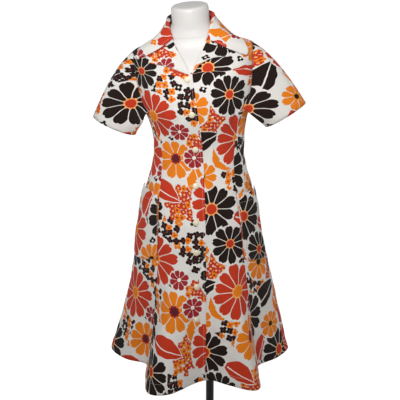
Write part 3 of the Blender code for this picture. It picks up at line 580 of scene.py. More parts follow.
def leaf_group():
    """A leaf: widest near its stem, bent, with a pale curved rib."""
    tree, given = new_group("leaf", "ShaderNodeTree", {
        "Below": "Color", "At": "Vector", "Middle": "Vector", "Size": "Vector", "Turn": "Float",
        "Leaf": "Color", "Rib": "Color"}, "Color")
    way = away_from(tree, given["At"], given["Middle"])
    way = node(tree, "ShaderNodeVectorRotate", way, {"Angle": given["Turn"]}, rotation_type="Z_AXIS")
    x = node(tree, "ShaderNodeSeparateXYZ", node(tree, VECTOR, way, given["Size"], operation="DIVIDE"))
    square = node(tree, MATH, x, x, operation="MULTIPLY")
    bend = node(tree, MATH, square, LEAF_BEND, x.node.outputs[1], operation="MULTIPLY_ADD")
    along = node(tree, "ShaderNodeMapRange", x, -0.5, 0.5)
    lens = node(tree, MATH, square, -4.0, 1.0, operation="MULTIPLY_ADD")
    fuller = node(tree, MATH, along, -LEAF_TAPER, LEAF_FULL, operation="MULTIPLY_ADD")
    ripple = node(tree, MATH, node(tree, MATH, along, RIPPLES, operation="MULTIPLY"), operation="SINE")
    fuller = node(tree, MATH, ripple, RIPPLE, fuller, operation="MULTIPLY_ADD")
    edge = node(tree, MATH, lens, fuller, operation="MULTIPLY")
    off = node(tree, MATH, bend, operation="ABSOLUTE")
    bare = node(tree, MATH, off, node(tree, MATH, edge, LEAF_BARE, operation="ADD"), operation="LESS_THAN")
    own = node(tree, MATH, square, LEAF_BARE_TO, operation="LESS_THAN")
    bare = node(tree, MATH, bare, own, operation="MULTIPLY")
    colour = node(tree, MIX, bare, {6: given["Below"], 7: linear(OFF_WHITE)}, **OVER)
    inside = node(tree, MATH, off, edge, operation="LESS_THAN")
    colour = node(tree, MIX, inside, {6: colour, 7: given["Leaf"]}, **OVER)
    curl = node(tree, MATH, node(tree, MATH, along, RIB_BENDS, operation="MULTIPLY"), operation="SINE")
    rib = node(tree, MATH, curl, RIB_CURL, bend, operation="MULTIPLY_ADD")
    rib = node(tree, MATH, rib, operation="ABSOLUTE")
    thin = node(tree, MATH, along, -RIB_THINS, RIB_THICK, operation="MULTIPLY_ADD")
    rib = node(tree, MATH, node(tree, MATH, rib, thin, operation="LESS_THAN"), inside, operation="MULTIPLY")
    started = node(tree, MATH, along, RIB_FROM, operation="GREATER_THAN")
    rib = node(tree, MATH, rib, started, operation="MULTIPLY")
    node(tree, "NodeGroupOutput", node(tree, MIX, rib, {6: colour, 7: given["Rib"]}, **OVER))
    return tree


LEAF = leaf_group()
print("nodes in a leaf", len(LEAF.nodes))

# %% Small flowers
# Shares of the flower's reach: a lobe's place and radius, and the middle. A turn is in radians.
LOBE_OUT, LOBE, FLORET_MIDDLE, FLORET_TURN = 0.42, 0.46, 0.27, 6.0


def floret_group():
    """A flower of four round lobes in a cell: one of two inks by chance, with a small middle."""
    tree, given = new_group("floret", "ShaderNodeTree", {
        "Below": "Color", "Local": "Vector", "Chance": "Float", "Shown": "Float", "First": "Color",
        "Other": "Color", "Share": "Float", "Middle": "Color", "Other middle": "Color",
        "Reach": "Float"}, "Color")
    turn = node(tree, MATH, given["Chance"], FLORET_TURN, operation="MULTIPLY")
    way = node(tree, "ShaderNodeVectorRotate", given["Local"], {"Angle": turn}, rotation_type="Z_AXIS")
    way = node(tree, VECTOR, way, operation="ABSOLUTE")
    lobe = node(tree, MATH, given["Reach"], LOBE_OUT, operation="MULTIPLY")
    lobe = node(tree, "ShaderNodeCombineXYZ", lobe, lobe, 0.0)
    from_lobe = node(tree, VECTOR, way, lobe, operation="DISTANCE", out="Value")
    size = node(tree, MATH, given["Reach"], LOBE, operation="MULTIPLY")
    inside = node(tree, MATH, from_lobe, size, operation="LESS_THAN")
    inside = node(tree, MATH, inside, given["Shown"], operation="MULTIPLY")
    other = node(tree, MATH, given["Chance"], given["Share"], operation="LESS_THAN")
    ink = node(tree, MIX, other, {6: given["First"], 7: given["Other"]}, **OVER)
    colour = node(tree, MIX, inside, {6: given["Below"], 7: ink}, **OVER)
    distance = node(tree, VECTOR, given["Local"], operation="LENGTH", out="Value")
    near = node(tree, MATH, given["Reach"], FLORET_MIDDLE, operation="MULTIPLY")
    near = node(tree, MATH, distance, near, operation="LESS_THAN")
    near = node(tree, MATH, near, given["Shown"], operation="MULTIPLY")
    middle = node(tree, MIX, other, {6: given["Middle"], 7: given["Other middle"]}, **OVER)
    node(tree, "NodeGroupOutput", node(tree, MIX, near, {6: colour, 7: middle}, **OVER))
    return tree


def cells(tree, at, size, order):
    """The way from the middle of the nearest cell, that middle's place, and the cell's chance."""
    place = node(tree, "ShaderNodeTexVoronoi", {"Vector": at, "Scale": 1.0 / size, "Randomness": order},
                 voronoi_dimensions="2D", out="Position")
    way = node(tree, VECTOR, at, place, operation="SUBTRACT")
    way = node(tree, VECTOR, way, {"Scale": 1.0 / size}, operation="SCALE")
    return way, place, node(tree, "ShaderNodeSeparateColor", place.node.outputs["Color"])


def near_any(tree, place, patches):
    """How far a place is from the nearest of these round patches. It is negative inside one."""
    nearest = None
    for across, up, size in patches:
        way = away_from(tree, place, (across, up, 0.0))
        distance = node(tree, VECTOR, way, operation="LENGTH", out="Value")
        distance = node(tree, MATH, distance, size, operation="SUBTRACT")
        nearest = distance if nearest is None else node(tree, MATH, nearest, distance, operation="MINIMUM")
    return nearest


FLORET = floret_group()
print("nodes in a small flower", len(FLORET.nodes))


# %% The whole print
def print_group():
    """The print: from a place on the flat cloth, in metres, to its colour."""
    tree, given = new_group("floral_print", "ShaderNodeTree", {"At": "Vector"}, "Color")
    stray = node(tree, "ShaderNodeTexNoise", {
        "Vector": given["At"], "Scale": WANDER_SCALE, "Detail": 1.0}, out="Color")
    stray = node(tree, VECTOR, stray, (0.5, 0.5, 0.5), operation="SUBTRACT")
    stray = node(tree, VECTOR, stray, {"Scale": WANDER}, operation="SCALE")
    at = node(tree, VECTOR, given["At"], stray, operation="ADD")
    at = node(tree, VECTOR, at, (1.0, 1.0, 0.0), operation="MULTIPLY")
    way, place, chance = cells(tree, at, SPRINKLE_CELL, SPRINKLE_ORDER)
    big = [(x, y, size) for x, y, size, *_ in DAISIES]
    big += [(x, y, length * LEAF_SPREAD) for x, y, length, *_ in LEAVES]
    free = near_any(tree, place, big + list(CLUSTERS) + list(HEADS))
    free = node(tree, MATH, free, SPRINKLE_CLEAR, operation="GREATER_THAN")
    some = node(tree, MATH, chance.node.outputs[2], SPRINKLE_SHARE, operation="LESS_THAN")
    free = node(tree, MATH, free, some, operation="MULTIPLY")
    orange = node(tree, MATH, chance.node.outputs[1], SPRINKLE_ORANGE, operation="LESS_THAN")
    bright = node(tree, MIX, orange, {6: linear(RED), 7: linear(ORANGE)}, **OVER)
    colour = node(tree, GROUP, linear(OFF_WHITE), way, chance, free, linear(BROWN), bright, SPRINKLE_BRIGHT,
                  linear(PALE), linear(PALE_ORANGE), SPRINKLE_REACH, node_tree=FLORET)
    for patches, cell, order, reach, first, other, share, middle, other_middle in FLORETS:
        way, place, chance = cells(tree, at, cell, order)
        shown = node(tree, MATH, near_any(tree, place, patches), 0.0, operation="LESS_THAN")
        colour = node(tree, GROUP, colour, way, chance, shown, linear(first), linear(other), share,
                      linear(middle), linear(other_middle), reach, node_tree=FLORET)
    for x, y, length, half, turn, ink in LEAVES:
        colour = node(tree, GROUP, colour, at, (x, y, 0.0), (length, half, 1.0), math.radians(-turn),
                      linear(ink), linear(PALE), node_tree=LEAF)
    for x, y, size, petals, turn, ink, eye, ring in DAISIES:
        colour = node(tree, GROUP, colour, at, (x, y, 0.0), size, float(petals), turn, linear(ink),
                      linear(eye), linear(ring), node_tree=DAISY)
    node(tree, "NodeGroupOutput", colour)
    return tree


PRINT = print_group()
print("the print's groups hold", sum(len(g.nodes) for g in bpy.data.node_groups), "nodes")

# %% [markdown]
# ## Printed cotton
#
# Plain-woven cotton is matt, with a faint bloom from its fibres at grazing angles. Real threads lie
# about 0.3 mm apart, too fine to show from here, so the weave is drawn nearly four times as coarse.
# Thick places in the yarn, the slubs, make the surface a little uneven every 26 mm or so, and the
# colour carries painted shade where they and the weave sink. The ink soaks in and shows faintly on
# the wrong side. Threads could be modelled, but a bump is enough at this distance, and one tree then
# serves both sides.

# %% The cotton, right side and wrong side
THREAD = 0.0011  # metres between threads, coarser than real so that they show
WEAVE_DEPTH, SLUB_DEPTH = 0.00020, 0.0011
# WEAVE_SHADE and SLUB_SHADE are painted shade: they darken the colour where the weave and the slubs sink, at
# the same heights that the bumps use
SLUBS, WEAVE_SHADE, SLUB_SHADE, DARKEST = 38.0, 0.02, 0.10, 0.95
COTTON_ROUGHNESS, COTTON_SPECULAR, COTTON_SHEEN, SHEEN_ROUGHNESS = 0.88, 0.18, 0.03, 0.5
SHOWS_THROUGH = 0.28  # how strongly the ink shows on the wrong side


def woven_cotton(name, shows):
    """Plain-woven cotton with the print on it, as far as it shows on this side."""
    made, tree = new_material(name)
    flat = node(tree, "ShaderNodeUVMap", uv_map="flat")
    place = node(tree, "ShaderNodeTexCoord", out="Object")
    threads = node(tree, VECTOR, flat, {"Scale": 2.0 * math.pi / THREAD}, operation="SCALE")
    x = node(tree, "ShaderNodeSeparateXYZ", threads)
    warp = node(tree, MATH, x, operation="SINE")
    weft = node(tree, MATH, x.node.outputs[1], operation="SINE")
    weave = node(tree, MATH, warp, weft, operation="MULTIPLY")
    slubs = node(tree, "ShaderNodeTexNoise", {
        "Vector": place, "Scale": SLUBS, "Detail": 4.0, "Roughness": 0.55})
    inked = node(tree, GROUP, flat, node_tree=PRINT)
    colour = node(tree, MIX, shows, {6: linear(OFF_WHITE), 7: inked}, **OVER)
    # Painted shade: the colour is a little darker where the weave dips between threads and where the slubs
    # sink, following the bumps' heights
    shade = node(tree, MATH, weave, WEAVE_SHADE, slubs, operation="MULTIPLY_ADD")
    shade = node(tree, MATH, shade, SLUB_SHADE, DARKEST, operation="MULTIPLY_ADD")
    colour = node(tree, VECTOR, colour, {"Scale": shade}, operation="SCALE")
    bump = node(tree, "ShaderNodeBump", {"Height": weave, "Distance": WEAVE_DEPTH, "Strength": 1.0})
    bump = node(tree, "ShaderNodeBump", {
        "Height": slubs, "Distance": SLUB_DEPTH, "Strength": 1.0, "Normal": bump})
    shader = node(tree, "ShaderNodeBsdfPrincipled", {
        "Base Color": colour, "Roughness": COTTON_ROUGHNESS, "Specular IOR Level": COTTON_SPECULAR,
        "Sheen Weight": COTTON_SHEEN, "Sheen Roughness": SHEEN_ROUGHNESS, "Normal": bump})
    node(tree, "ShaderNodeOutputMaterial", shader)
    return made


COTTON = woven_cotton("printed_cotton", 1.0)
COTTON_WRONG_SIDE = woven_cotton("printed_cotton_wrong_side", SHOWS_THROUGH)
print(COTTON.name, "and", COTTON_WRONG_SIDE.name)

# %% [markdown]
# ## Fronts, side fronts and back
#
# The front is cut in four: two fronts that button, and two side fronts joined to them by princess
# seams. The back is one piece. A seam pulls the cloth in a little, so the last few millimetres at
# each seamed edge dip: that soft valley is what the eye reads as a seam. A seam could be a bump
# line on one whole skin, but pieces cut apart also break the print, as real ones do.

# %% Seams and edges
SEAM_HALF = 0.00016  # half the gap that is left between two sewn edges
SEAM_STEPS = np.array((0.0, 0.0012, 0.0028, 0.0052))
SEAM_DIP = np.array((-0.0013, -0.0007, -0.0002, 0.0))
ROW_STEP, NECK_STEP = 0.0075, 0.004
PRINCESS_SEAMS = np.array((
    # height  wearer's right  wearer's left
    (0.385, 46.0, 55.0),
    (0.710, 40.0, 52.0),
    (0.800, 42.0, 51.5),
    (0.910, 49.0, 54.0),
    (0.965, 53.5, 57.5),
    (1.035, 56.5, 60.5),
    (1.100, 60.5, 62.5),
    (1.1345, 63.0, 63.0),
))
BUTTON_LINE = np.array((
    # height  sideways  to the edge
    (0.385, 0.009, 0.027),
    (0.650, 0.008, 0.026),
    (0.830, 0.004, 0.026),
    (0.930, 0.001, 0.024),
    (1.030, 0.000, 0.019),
    (1.136, -0.004, 0.016),
    (1.230, -0.011, 0.015),
))
OVERLAP_RAMP, OVERLAP_FADE = 0.012, 0.040
NECK_EDGE = np.array((
    # height  degrees
    (1.240, 1.0),
    (1.265, 8.0),
    (1.285, 17.7),
    (1.305, 30.7),
    (1.325, 43.0),
    (1.340, 56.0),
    (1.352, 75.0),
))
ARMHOLE_MIDDLE, ARMHOLE_HALF, ARMHOLE_CORNER = 1.213, 0.085, 157.5
ARMHOLE = np.array((
    # degrees round from the shoulder, cut into the front, cut into the back
    (0.0, 0.0, 0.0),
    (22.5, 7.0, 6.0),
    (45.0, 10.0, 8.0),
    (67.5, 11.0, 9.0),
    (90.0, 12.0, 10.0),
    (112.5, 15.5, 11.5),
    (135.0, 22.0, 14.0),
    (157.5, 27.0, 12.0),
    (180.0, 0.0, 0.0),
))
ARMHOLE_STEP = 4.5
HEM_BAND, HEM_BAND_LIFT, HEM_BAND_EDGE = 0.030, 0.0005, 0.003


# %% Armholes and seams
def armhole_height(phi):
    """Height of the armhole's edge, phi degrees round from the shoulder."""
    return ARMHOLE_MIDDLE + ARMHOLE_HALF * np.cos(np.radians(phi))


def armhole_cut(phi, column):
    """How many degrees the armhole is cut in: column 1 is the front, column 2 the back."""
    turn = (np.asarray(phi, float) - ARMHOLE_CORNER) / (180.0 - ARMHOLE_CORNER)
    smooth = curve(ARMHOLE, column, phi)
    if column == 1:
        return np.where(turn > 0.0, ARMHOLE[-2, 1] * np.cos(np.clip(turn, 0.0, 1.0) * math.pi / 2.0), smooth)
    return smooth


ARMHOLE_TURNS = np.arange(180.0, -1.0, -ARMHOLE_STEP)
CORNER_HEIGHT = float(armhole_height(ARMHOLE_CORNER))
LOWEST = float(armhole_height(180.0))
print(f"armhole from {LOWEST:.3f} to {float(armhole_height(0.0)):.3f} m up")


def steps_between(low, high, step=ROW_STEP):
    """Heights from low up to, but without, high, about a step apart."""
    return np.linspace(low, high, max(2, round((high - low) / step)), endpoint=False)


def hem_band(height):
    """The turned-up hem is two layers thick."""
    return HEM_BAND_LIFT * (1.0 - ease((height - HEM - HEM_BAND) / HEM_BAND_EDGE + 0.5))


def princess_angle(side, height):
    """Angle of the princess seam. side is -1 on the wearer's right and 1 on the left."""
    return np.radians(curve(PRINCESS_SEAMS, 1 if side < 0 else 2, height))


def half_gap(theta, height):
    """Half of a seam's gap, as an angle."""
    return SEAM_HALF / radius(theta, height)


def seamed(angles, lifts, height, ends=(True, True)):
    """A row with closer points that dip at its seamed ends."""
    at_end, away = [], []
    for end in (0, -1):
        sign = np.sign(angles[-1] - angles[0]) * (1.0 if end == 0 else -1.0)
        at_end.append(angles[end] + sign * SEAM_STEPS / radius(angles[end], height))
        away.append(lifts[end] + (SEAM_DIP if ends[end] else 0.0 * SEAM_DIP))
    inner = (angles - angles[0]) / (angles[-1] - angles[0])
    first = (at_end[0][-1] - angles[0]) / (angles[-1] - angles[0])
    last = (at_end[1][-1] - angles[0]) / (angles[-1] - angles[0])
    squeezed = first + inner[1:-1] * (last - first)
    middle = angles[0] + squeezed * (angles[-1] - angles[0])
    row = np.concatenate([at_end[0], middle, at_end[1][::-1]])
    return row, np.concatenate([away[0], lifts[1:-1], away[1][::-1]])


# %% The two buttoned fronts
PLAIN_COLUMNS, RAMP_COLUMNS, EDGE_COLUMNS = 30, 4, 12
EVEN_OVER = 0.06  # above the break, the columns become even over this height


def front_outer_angle(side, height):
    """Where a front ends on its outer side: princess seam, armhole, then shoulder seam."""
    if height <= CORNER_HEIGHT:
        angle = princess_angle(side, height)
        return angle - half_gap(side * angle, height)
    if height < SHOULDER_END:
        phi = math.degrees(math.acos((height - ARMHOLE_MIDDLE) / ARMHOLE_HALF))
        return math.radians(90.0 - float(armhole_cut(phi, 1)))
    return math.radians(90.0) - half_gap(side * math.pi / 2.0, height)


def strip_shares(side, height):
    """Where the columns lie between a front's two edges, and how far each is lifted."""
    line, edge = (float(curve(BUTTON_LINE, column, height)) for column in (1, 2))
    if side < 0:
        ramp_end = line - edge - LAYER
        strip_x = np.concatenate([
            np.linspace(ramp_end - OVERLAP_RAMP, ramp_end, RAMP_COLUMNS, endpoint=False),
            np.linspace(ramp_end, line + edge, EDGE_COLUMNS + 1)])
        lifts = ON_PANEL * ease((strip_x - ramp_end) / OVERLAP_RAMP + 1.0)
    else:
        strip_x = np.concatenate([
            np.linspace(line + 2.0 * edge, line + edge, RAMP_COLUMNS, endpoint=False),
            np.linspace(line + edge, line - edge, EDGE_COLUMNS + 1)])
        lifts = np.zeros(len(strip_x))
    outer = side * front_outer_angle(side, height)
    strip = angle_at(strip_x, height)
    plain = np.linspace(outer, strip[0], PLAIN_COLUMNS, endpoint=False)
    angles = np.concatenate([plain, strip])
    return (angles - outer) / (angles[-1] - outer), np.concatenate([np.zeros(PLAIN_COLUMNS), lifts])


def front_row(side, height):
    """Angles and lifts along one row of a front, from its outer side to its front edge."""
    shares, lifts = strip_shares(side, min(height, BREAK - 1e-4))
    outer = side * front_outer_angle(side, height)
    if height < BREAK:
        line, edge = (float(curve(BUTTON_LINE, column, height)) for column in (1, 2))
        inner = angle_at(line - side * edge, height)
    else:
        inner = side * math.radians(float(curve(NECK_EDGE, 1, height)))
        even = np.linspace(0.0, 1.0, len(shares))
        shares = shares + (even - shares) * ease((height - BREAK) / EVEN_OVER)
        lifts = lifts * (1.0 - ease((height - BREAK) / OVERLAP_FADE))
    angles = outer + shares * (inner - outer)
    return seamed(angles, lifts + hem_band(height), height, ends=(True, False))


ARMHOLE_HEIGHTS = armhole_height(ARMHOLE_TURNS)
ABOVE_ARM = np.concatenate([steps_between(SHOULDER_END, NECK_SEAM, NECK_STEP)[1:], [NECK_SEAM]])
FRONT_HEIGHTS = np.concatenate([steps_between(HEM, LOWEST), ARMHOLE_HEIGHTS, ABOVE_ARM])
print("rows of a front", len(FRONT_HEIGHTS))


def front_grid(side):
    """Rows of points of one front, from the hem to the neck, and each row's edge off the centre."""
    rows, edges = [], []
    for height in FRONT_HEIGHTS:
        angles, lifts = front_row(side, height)
        row = cloth_point(angles, height, lifts)
        rows.append(row if side < 0 else row[::-1])
        edges.append(angles[-1] * float(radius(angles[-1], height)))
    return np.array(rows), np.array(edges)


# %% The side fronts
SIDE_COLUMNS = 20
SIDE_BEND, BENT_ROWS = 1.070, 10  # above this height the rows bend to follow the armhole


def side_share(column):
    """How far across a side front a column lies. column runs from 0 to 1."""
    return 1.0 - np.cos(np.asarray(column, float) * math.pi / 2.0)


def side_angles(side, height, columns):
    """Angles along one row of a side front, from the princess seam to the side seam."""
    start = princess_angle(side, np.minimum(height, CORNER_HEIGHT))
    start = start + half_gap(side * start, height)
    end = math.pi / 2.0 - half_gap(side * math.pi / 2.0, height)
    return side * (start + (end - start) * side_share(columns))


def side_front_grid(side):
    """Rows of points of one side front, from the hem up to the bottom of the armhole."""
    columns = np.linspace(0.0, 1.0, SIDE_COLUMNS + 1)
    top = armhole_height(ARMHOLE_CORNER + (180.0 - ARMHOLE_CORNER) * columns)
    rows = []
    for height in steps_between(HEM, SIDE_BEND):
        angles, lifts = seamed(side_angles(side, height, columns), np.zeros(len(columns)), height)
        rows.append(cloth_point(angles, height, lifts + hem_band(height)))
    for share in np.linspace(0.0, 1.0, BENT_ROWS):
        heights = SIDE_BEND + (top - SIDE_BEND) * share
        angles, lifts = seamed(side_angles(side, heights, columns), np.zeros(len(columns)), heights.mean())
        shares = (angles - angles[0]) / (angles[-1] - angles[0])
        plain = side_angles(side, heights, columns)
        heights = np.interp(shares, (plain - plain[0]) / (plain[-1] - plain[0]), heights)
        rows.append(cloth_point(angles, heights, lifts))
    return np.array([row if side > 0 else row[::-1] for row in rows])


# %% The back
BACK_COLUMNS = 90


def back_grid():
    """Rows of points of the back, from one side seam round to the other."""
    rows = []
    for height in FRONT_HEIGHTS:
        cut = float(half_gap(math.pi / 2.0, height))
        if LOWEST + 1e-6 < height < SHOULDER_END - 1e-6:
            phi = math.degrees(math.acos((height - ARMHOLE_MIDDLE) / ARMHOLE_HALF))
            cut = math.radians(float(armhole_cut(phi, 2)))
        angles = np.linspace(math.pi / 2.0 + cut, 1.5 * math.pi - cut, BACK_COLUMNS + 1)
        angles, lifts = seamed(angles, np.zeros(len(angles)) + hem_band(height), height)
        rows.append(cloth_point(angles, height, lifts))
    return np.array(rows)


back = back_grid()
cloth("back", back, flat_sizes(back, back.shape[1] // 2), cut_at=(0.11, 0.05))
FRONTS = {}
for side, name in SIDES:
    front, edges = front_grid(side)
    FRONTS[name] = front
    flat = flat_sizes(front, front.shape[1] - 1 if side < 0 else 0)
    flat[..., 0] += edges[:, None]  # across from the centre line, so that the grain runs straight
    cloth(f"front_{name}", front, flat, cut_at=(0.02, 0.0) if side < 0 else (0.19, 0.07))
    side_front = side_front_grid(side)
    cloth(f"side_front_{name}", side_front,
          flat_sizes(side_front, side_front.shape[1] // 2), cut_at=(0.05 + 0.11 * side, 0.13))

# %% [markdown]
# ## Sleeves
#
# A short set-in sleeve is a tube. Its head is a little longer than the armhole it is sewn into, so
# it stands out at the shoulder and then falls to a flared hem. It could be lofted from two rings.
# A curve from each point of the armhole is chosen, because it leaves the seam in its own direction.

# %% The sleeves
CUFF_X, CUFF_Z = 0.242, 1.090
CUFF_HALF_WIDTH, CUFF_HALF_DEPTH = 0.0655, 0.044
CUFF_LEAN = math.radians(27.7)
SLEEVE_CAP, SLEEVE_ROUND, SLEEVE_FULLEST = 0.026, 0.010, 0.30
SLEEVE_SEAM = 0.0006
SLEEVE_LEANS_AS, SLEEVE_LEAN_PACE = 1.25, 1.5
SLEEVE_ROWS, CREASES_START = 26, 0.2  # the creases start this share down from the armhole
SLEEVE_CREASES = np.array((
    # from: degrees round, share down; to; out; width
    (150.0, 0.10, 95.0, 0.75, -0.0030, 0.10),
    (120.0, 0.02, 70.0, 0.45, -0.0022, 0.08),
    (175.0, 0.25, 130.0, 0.95, 0.0022, 0.12),
    (235.0, 0.05, 275.0, 0.65, -0.0028, 0.10),
    (205.0, 0.30, 235.0, 0.95, 0.0020, 0.12),
    (300.0, 0.05, 320.0, 0.50, -0.0018, 0.09),
    (40.0, 0.55, 55.0, 1.00, -0.0016, 0.11),
))


def armhole_loop(side):
    """Angle and height of each point round an armhole, from the shoulder by the front."""
    front = np.concatenate([np.arange(0.0, ARMHOLE_CORNER, ARMHOLE_STEP),
                            np.linspace(ARMHOLE_CORNER, 180.0, 12)])
    back = np.arange(180.0 - ARMHOLE_STEP, -1.0, -ARMHOLE_STEP)
    turns = np.concatenate([front, 360.0 - back])
    angles = np.concatenate([90.0 - armhole_cut(front, 1), 90.0 + armhole_cut(back, 2)])
    return turns, side * np.radians(angles), np.concatenate([armhole_height(front), armhole_height(back)])


def sleeve_crease(turns, t):
    """How far the sleeve's creases move it out."""
    lift = np.zeros(len(turns))
    for from_turn, from_t, to_turn, to_t, out, width in SLEEVE_CREASES:
        x, to_x = (turns - from_turn) / 180.0, (to_turn - from_turn) / 180.0
        lift += crease(x, t - from_t, to_x, to_t - from_t, 0.0, out, width)
    return lift


def sleeve_grid(side):
    """Rings of points of one sleeve, from its hem up to the armhole."""
    turns, angles, heights = armhole_loop(side)
    seam = upright(angles, heights)
    away = seam - seam.mean(axis=0)
    out = outward(angles, heights)
    into_hole = out * np.sum(away * out, axis=1)[:, None] - away
    into_hole /= np.linalg.norm(into_hole, axis=1, keepdims=True)
    turn = np.radians(turns)[:, None]
    cuff_out = np.array([side * math.cos(CUFF_LEAN), 0.0, math.sin(CUFF_LEAN)])
    forward = np.array([0.0, -1.0, 0.0])
    cuff = (np.array([side * CUFF_X, 0.0, CUFF_Z]) + cuff_out * CUFF_HALF_WIDTH * np.cos(turn)
            + forward * CUFF_HALF_DEPTH * np.sin(turn))
    middle = seam + (cuff - seam) * SLEEVE_FULLEST
    middle += cuff_out * SLEEVE_CAP * np.maximum(np.cos(turn), 0.0)
    middle += forward * SLEEVE_ROUND * np.sin(turn)
    start = seam + into_hole * SLEEVE_SEAM - out * LAYER
    rings = []
    for t in np.linspace(1.0, 0.0, SLEEVE_ROWS):
        ring = start * (1.0 - t)**2 + 2.0 * middle * t * (1.0 - t) + cuff * t**2
        around = ring - ring.mean(axis=0)
        around /= np.linalg.norm(around, axis=1, keepdims=True)
        ring += around * sleeve_crease(turns, t)[:, None] * ease(t / CREASES_START)
        whole = ease(SLEEVE_LEAN_PACE * t)
        leans_as = heights + (SLEEVE_LEANS_AS - heights) * whole
        rings.append(settled(ring, leans_as + (ring[:, 2] - heights) * (1.0 - whole)))
    rings = np.array(rings)
    rings[:, -1] = rings[:, 0]
    return rings if side < 0 else rings[:, ::-1]


SLEEVES = {}
for side, name in SIDES:
    sleeve = sleeve_grid(side)
    SLEEVES[name] = sleeve
    flat = flat_sizes(sleeve, sleeve.shape[1] // 2)
    flat[..., 1] = spans(sleeve, 0)  # each column by its own length, which cuts the curved head
    cloth(f"sleeve_{name}", sleeve, flat,
          ring=True, cut_at=(0.13 - 0.07 * side, 0.21))

# %% [markdown]
# ## Patch pockets
#
# Each big pocket is a patch on a side front, so its points are the side front's own, moved out by
# a layer. It could be a flat shape pressed on with a shrinkwrap, but shared points can't cut
# through. Its lower corners are round, and its top edge stands away where a hand goes in.

# %% The pockets
POCKET_TOP, POCKET_BOTTOM = 0.902, (0.724, 0.690)
POCKET_MARGIN = 0.02  # share of the side front's width between the pocket and each seam
POCKET_LIFT = 0.0008
POCKET_GAPE = {"right": 0.008, "left": 0.013}
POCKET_CORNER_UP, POCKET_CORNER_IN = 0.20, 0.20
POCKET_COLUMNS, POCKET_ROWS = 24, 30


def pocket_grid(side, name):
    """Rows of points of a patch pocket."""
    turn = np.linspace(0.0, math.pi / 2.0, 8)
    corner_up = POCKET_CORNER_UP * (1.0 - np.cos(turn))
    corner_in = POCKET_CORNER_IN * (1.0 - np.sin(turn))
    ups = np.concatenate([corner_up, np.linspace(POCKET_CORNER_UP, 1.0, POCKET_ROWS)[1:]])
    cuts = np.concatenate([corner_in, np.zeros(POCKET_ROWS - 1)])
    rows = []
    for up, cut in zip(ups, cuts):
        across = np.linspace(POCKET_MARGIN + cut, 1.0 - POCKET_MARGIN - cut, POCKET_COLUMNS + 1)
        bottom = POCKET_BOTTOM[0] + (POCKET_BOTTOM[1] - POCKET_BOTTOM[0]) * across
        height = bottom + (POCKET_TOP - bottom) * up
        gape = POCKET_GAPE[name] * np.sin(math.pi * across) ** 0.5 * ease(2.0 * up - 1.0)
        row = cloth_point(side_angles(side, height, across), height, ON_PANEL + POCKET_LIFT + gape)
        rows.append(row if side > 0 else row[::-1])
    return np.array(rows)


POCKETS = {}
for side, name in SIDES:
    pocket = pocket_grid(side, name)
    POCKETS[name] = pocket
    cloth(f"pocket_{name}", pocket, flat_sizes(pocket, POCKET_COLUMNS // 2),
          cut_at=(0.21 + 0.05 * side, 0.02))

# %% [markdown]
# ## Lapels and collar
#
# The fronts turn back at the top, and what shows is their facing: the lapels. The collar is sewn
# to the neck, stands up, folds and falls over the lapels to two long points. The cloth solver could
# fold it, but its points would then be hard to place. So its grid is drawn at fifteen stations round
# the neck, and smooth curves fill in the rest.

# %% The lapels
LAPELS = {
    # side: break, then two places on the lower edge, point, upper corner under the collar
    "right": ((0.004, 1.2390), (0.031, 1.2498), (0.060, 1.2610), (0.117, 1.2730), (0.108, 1.2900)),
    "left": ((0.008, 1.2425), (0.0235, 1.2620), (0.052, 1.2740), (0.104, 1.2760), (0.100, 1.2930)),
}
LAPEL_REACH = np.array((0.0, 0.22, 0.45, 0.86, 1.0))
LAPEL_GORGE = {"right": 1.322, "left": 1.315}
LAPEL_LIFT_BREAK, LAPEL_LIFT_GORGE, LAPEL_SWELL = 0.0046, 0.0021, 0.003
LAPEL_COLUMNS, LAPEL_ROWS, LAPEL_TIP_ROWS = 22, 22, 5


def lapel_grid(side, name):
    """Rows of points of a lapel, from the break up to the gorge."""
    outer = np.array(LAPELS[name])
    below = np.linspace(0.0, LAPEL_REACH[3], LAPEL_ROWS)
    above = np.linspace(LAPEL_REACH[3], 1.0, LAPEL_TIP_ROWS)[1:]
    tip = np.linspace(0.0, 1.0, LAPEL_TIP_ROWS)[1:, None]
    edges = np.concatenate([through(LAPEL_REACH[:4], outer[:4], below),
                            outer[3] + (outer[4] - outer[3]) * tip])
    rows = []
    for v, (edge_x, edge_z) in zip(np.concatenate([below, above]), edges):
        roll_z = BREAK + (LAPEL_GORGE[name] - BREAK) * v
        roll_angle = side * math.radians(float(curve(NECK_EDGE, 1, roll_z)))
        roll_x = float(upright(roll_angle, roll_z)[0])
        u = np.linspace(0.0, 1.0, LAPEL_COLUMNS + 1)
        x = roll_x + (side * edge_x - roll_x) * u
        z = roll_z + (edge_z - roll_z) * u
        lift = LAPEL_LIFT_BREAK + (LAPEL_LIFT_GORGE - LAPEL_LIFT_BREAK) * v
        lift = lift + LAPEL_SWELL * np.sin(np.pi * u) * np.sin(np.pi * v)
        row = cloth_point(angle_at(x, z), z, lift)
        rows.append(row if side > 0 else row[::-1])
    return np.array(rows)


LAPEL_GRIDS = {}
for side, name in SIDES:
    lapel = lapel_grid(side, name)
    LAPEL_GRIDS[name] = lapel
    cloth(f"lapel_{name}", lapel,
          flat_sizes(lapel, 0 if side > 0 else LAPEL_COLUMNS),
          cut_at=(0.07, 0.16))

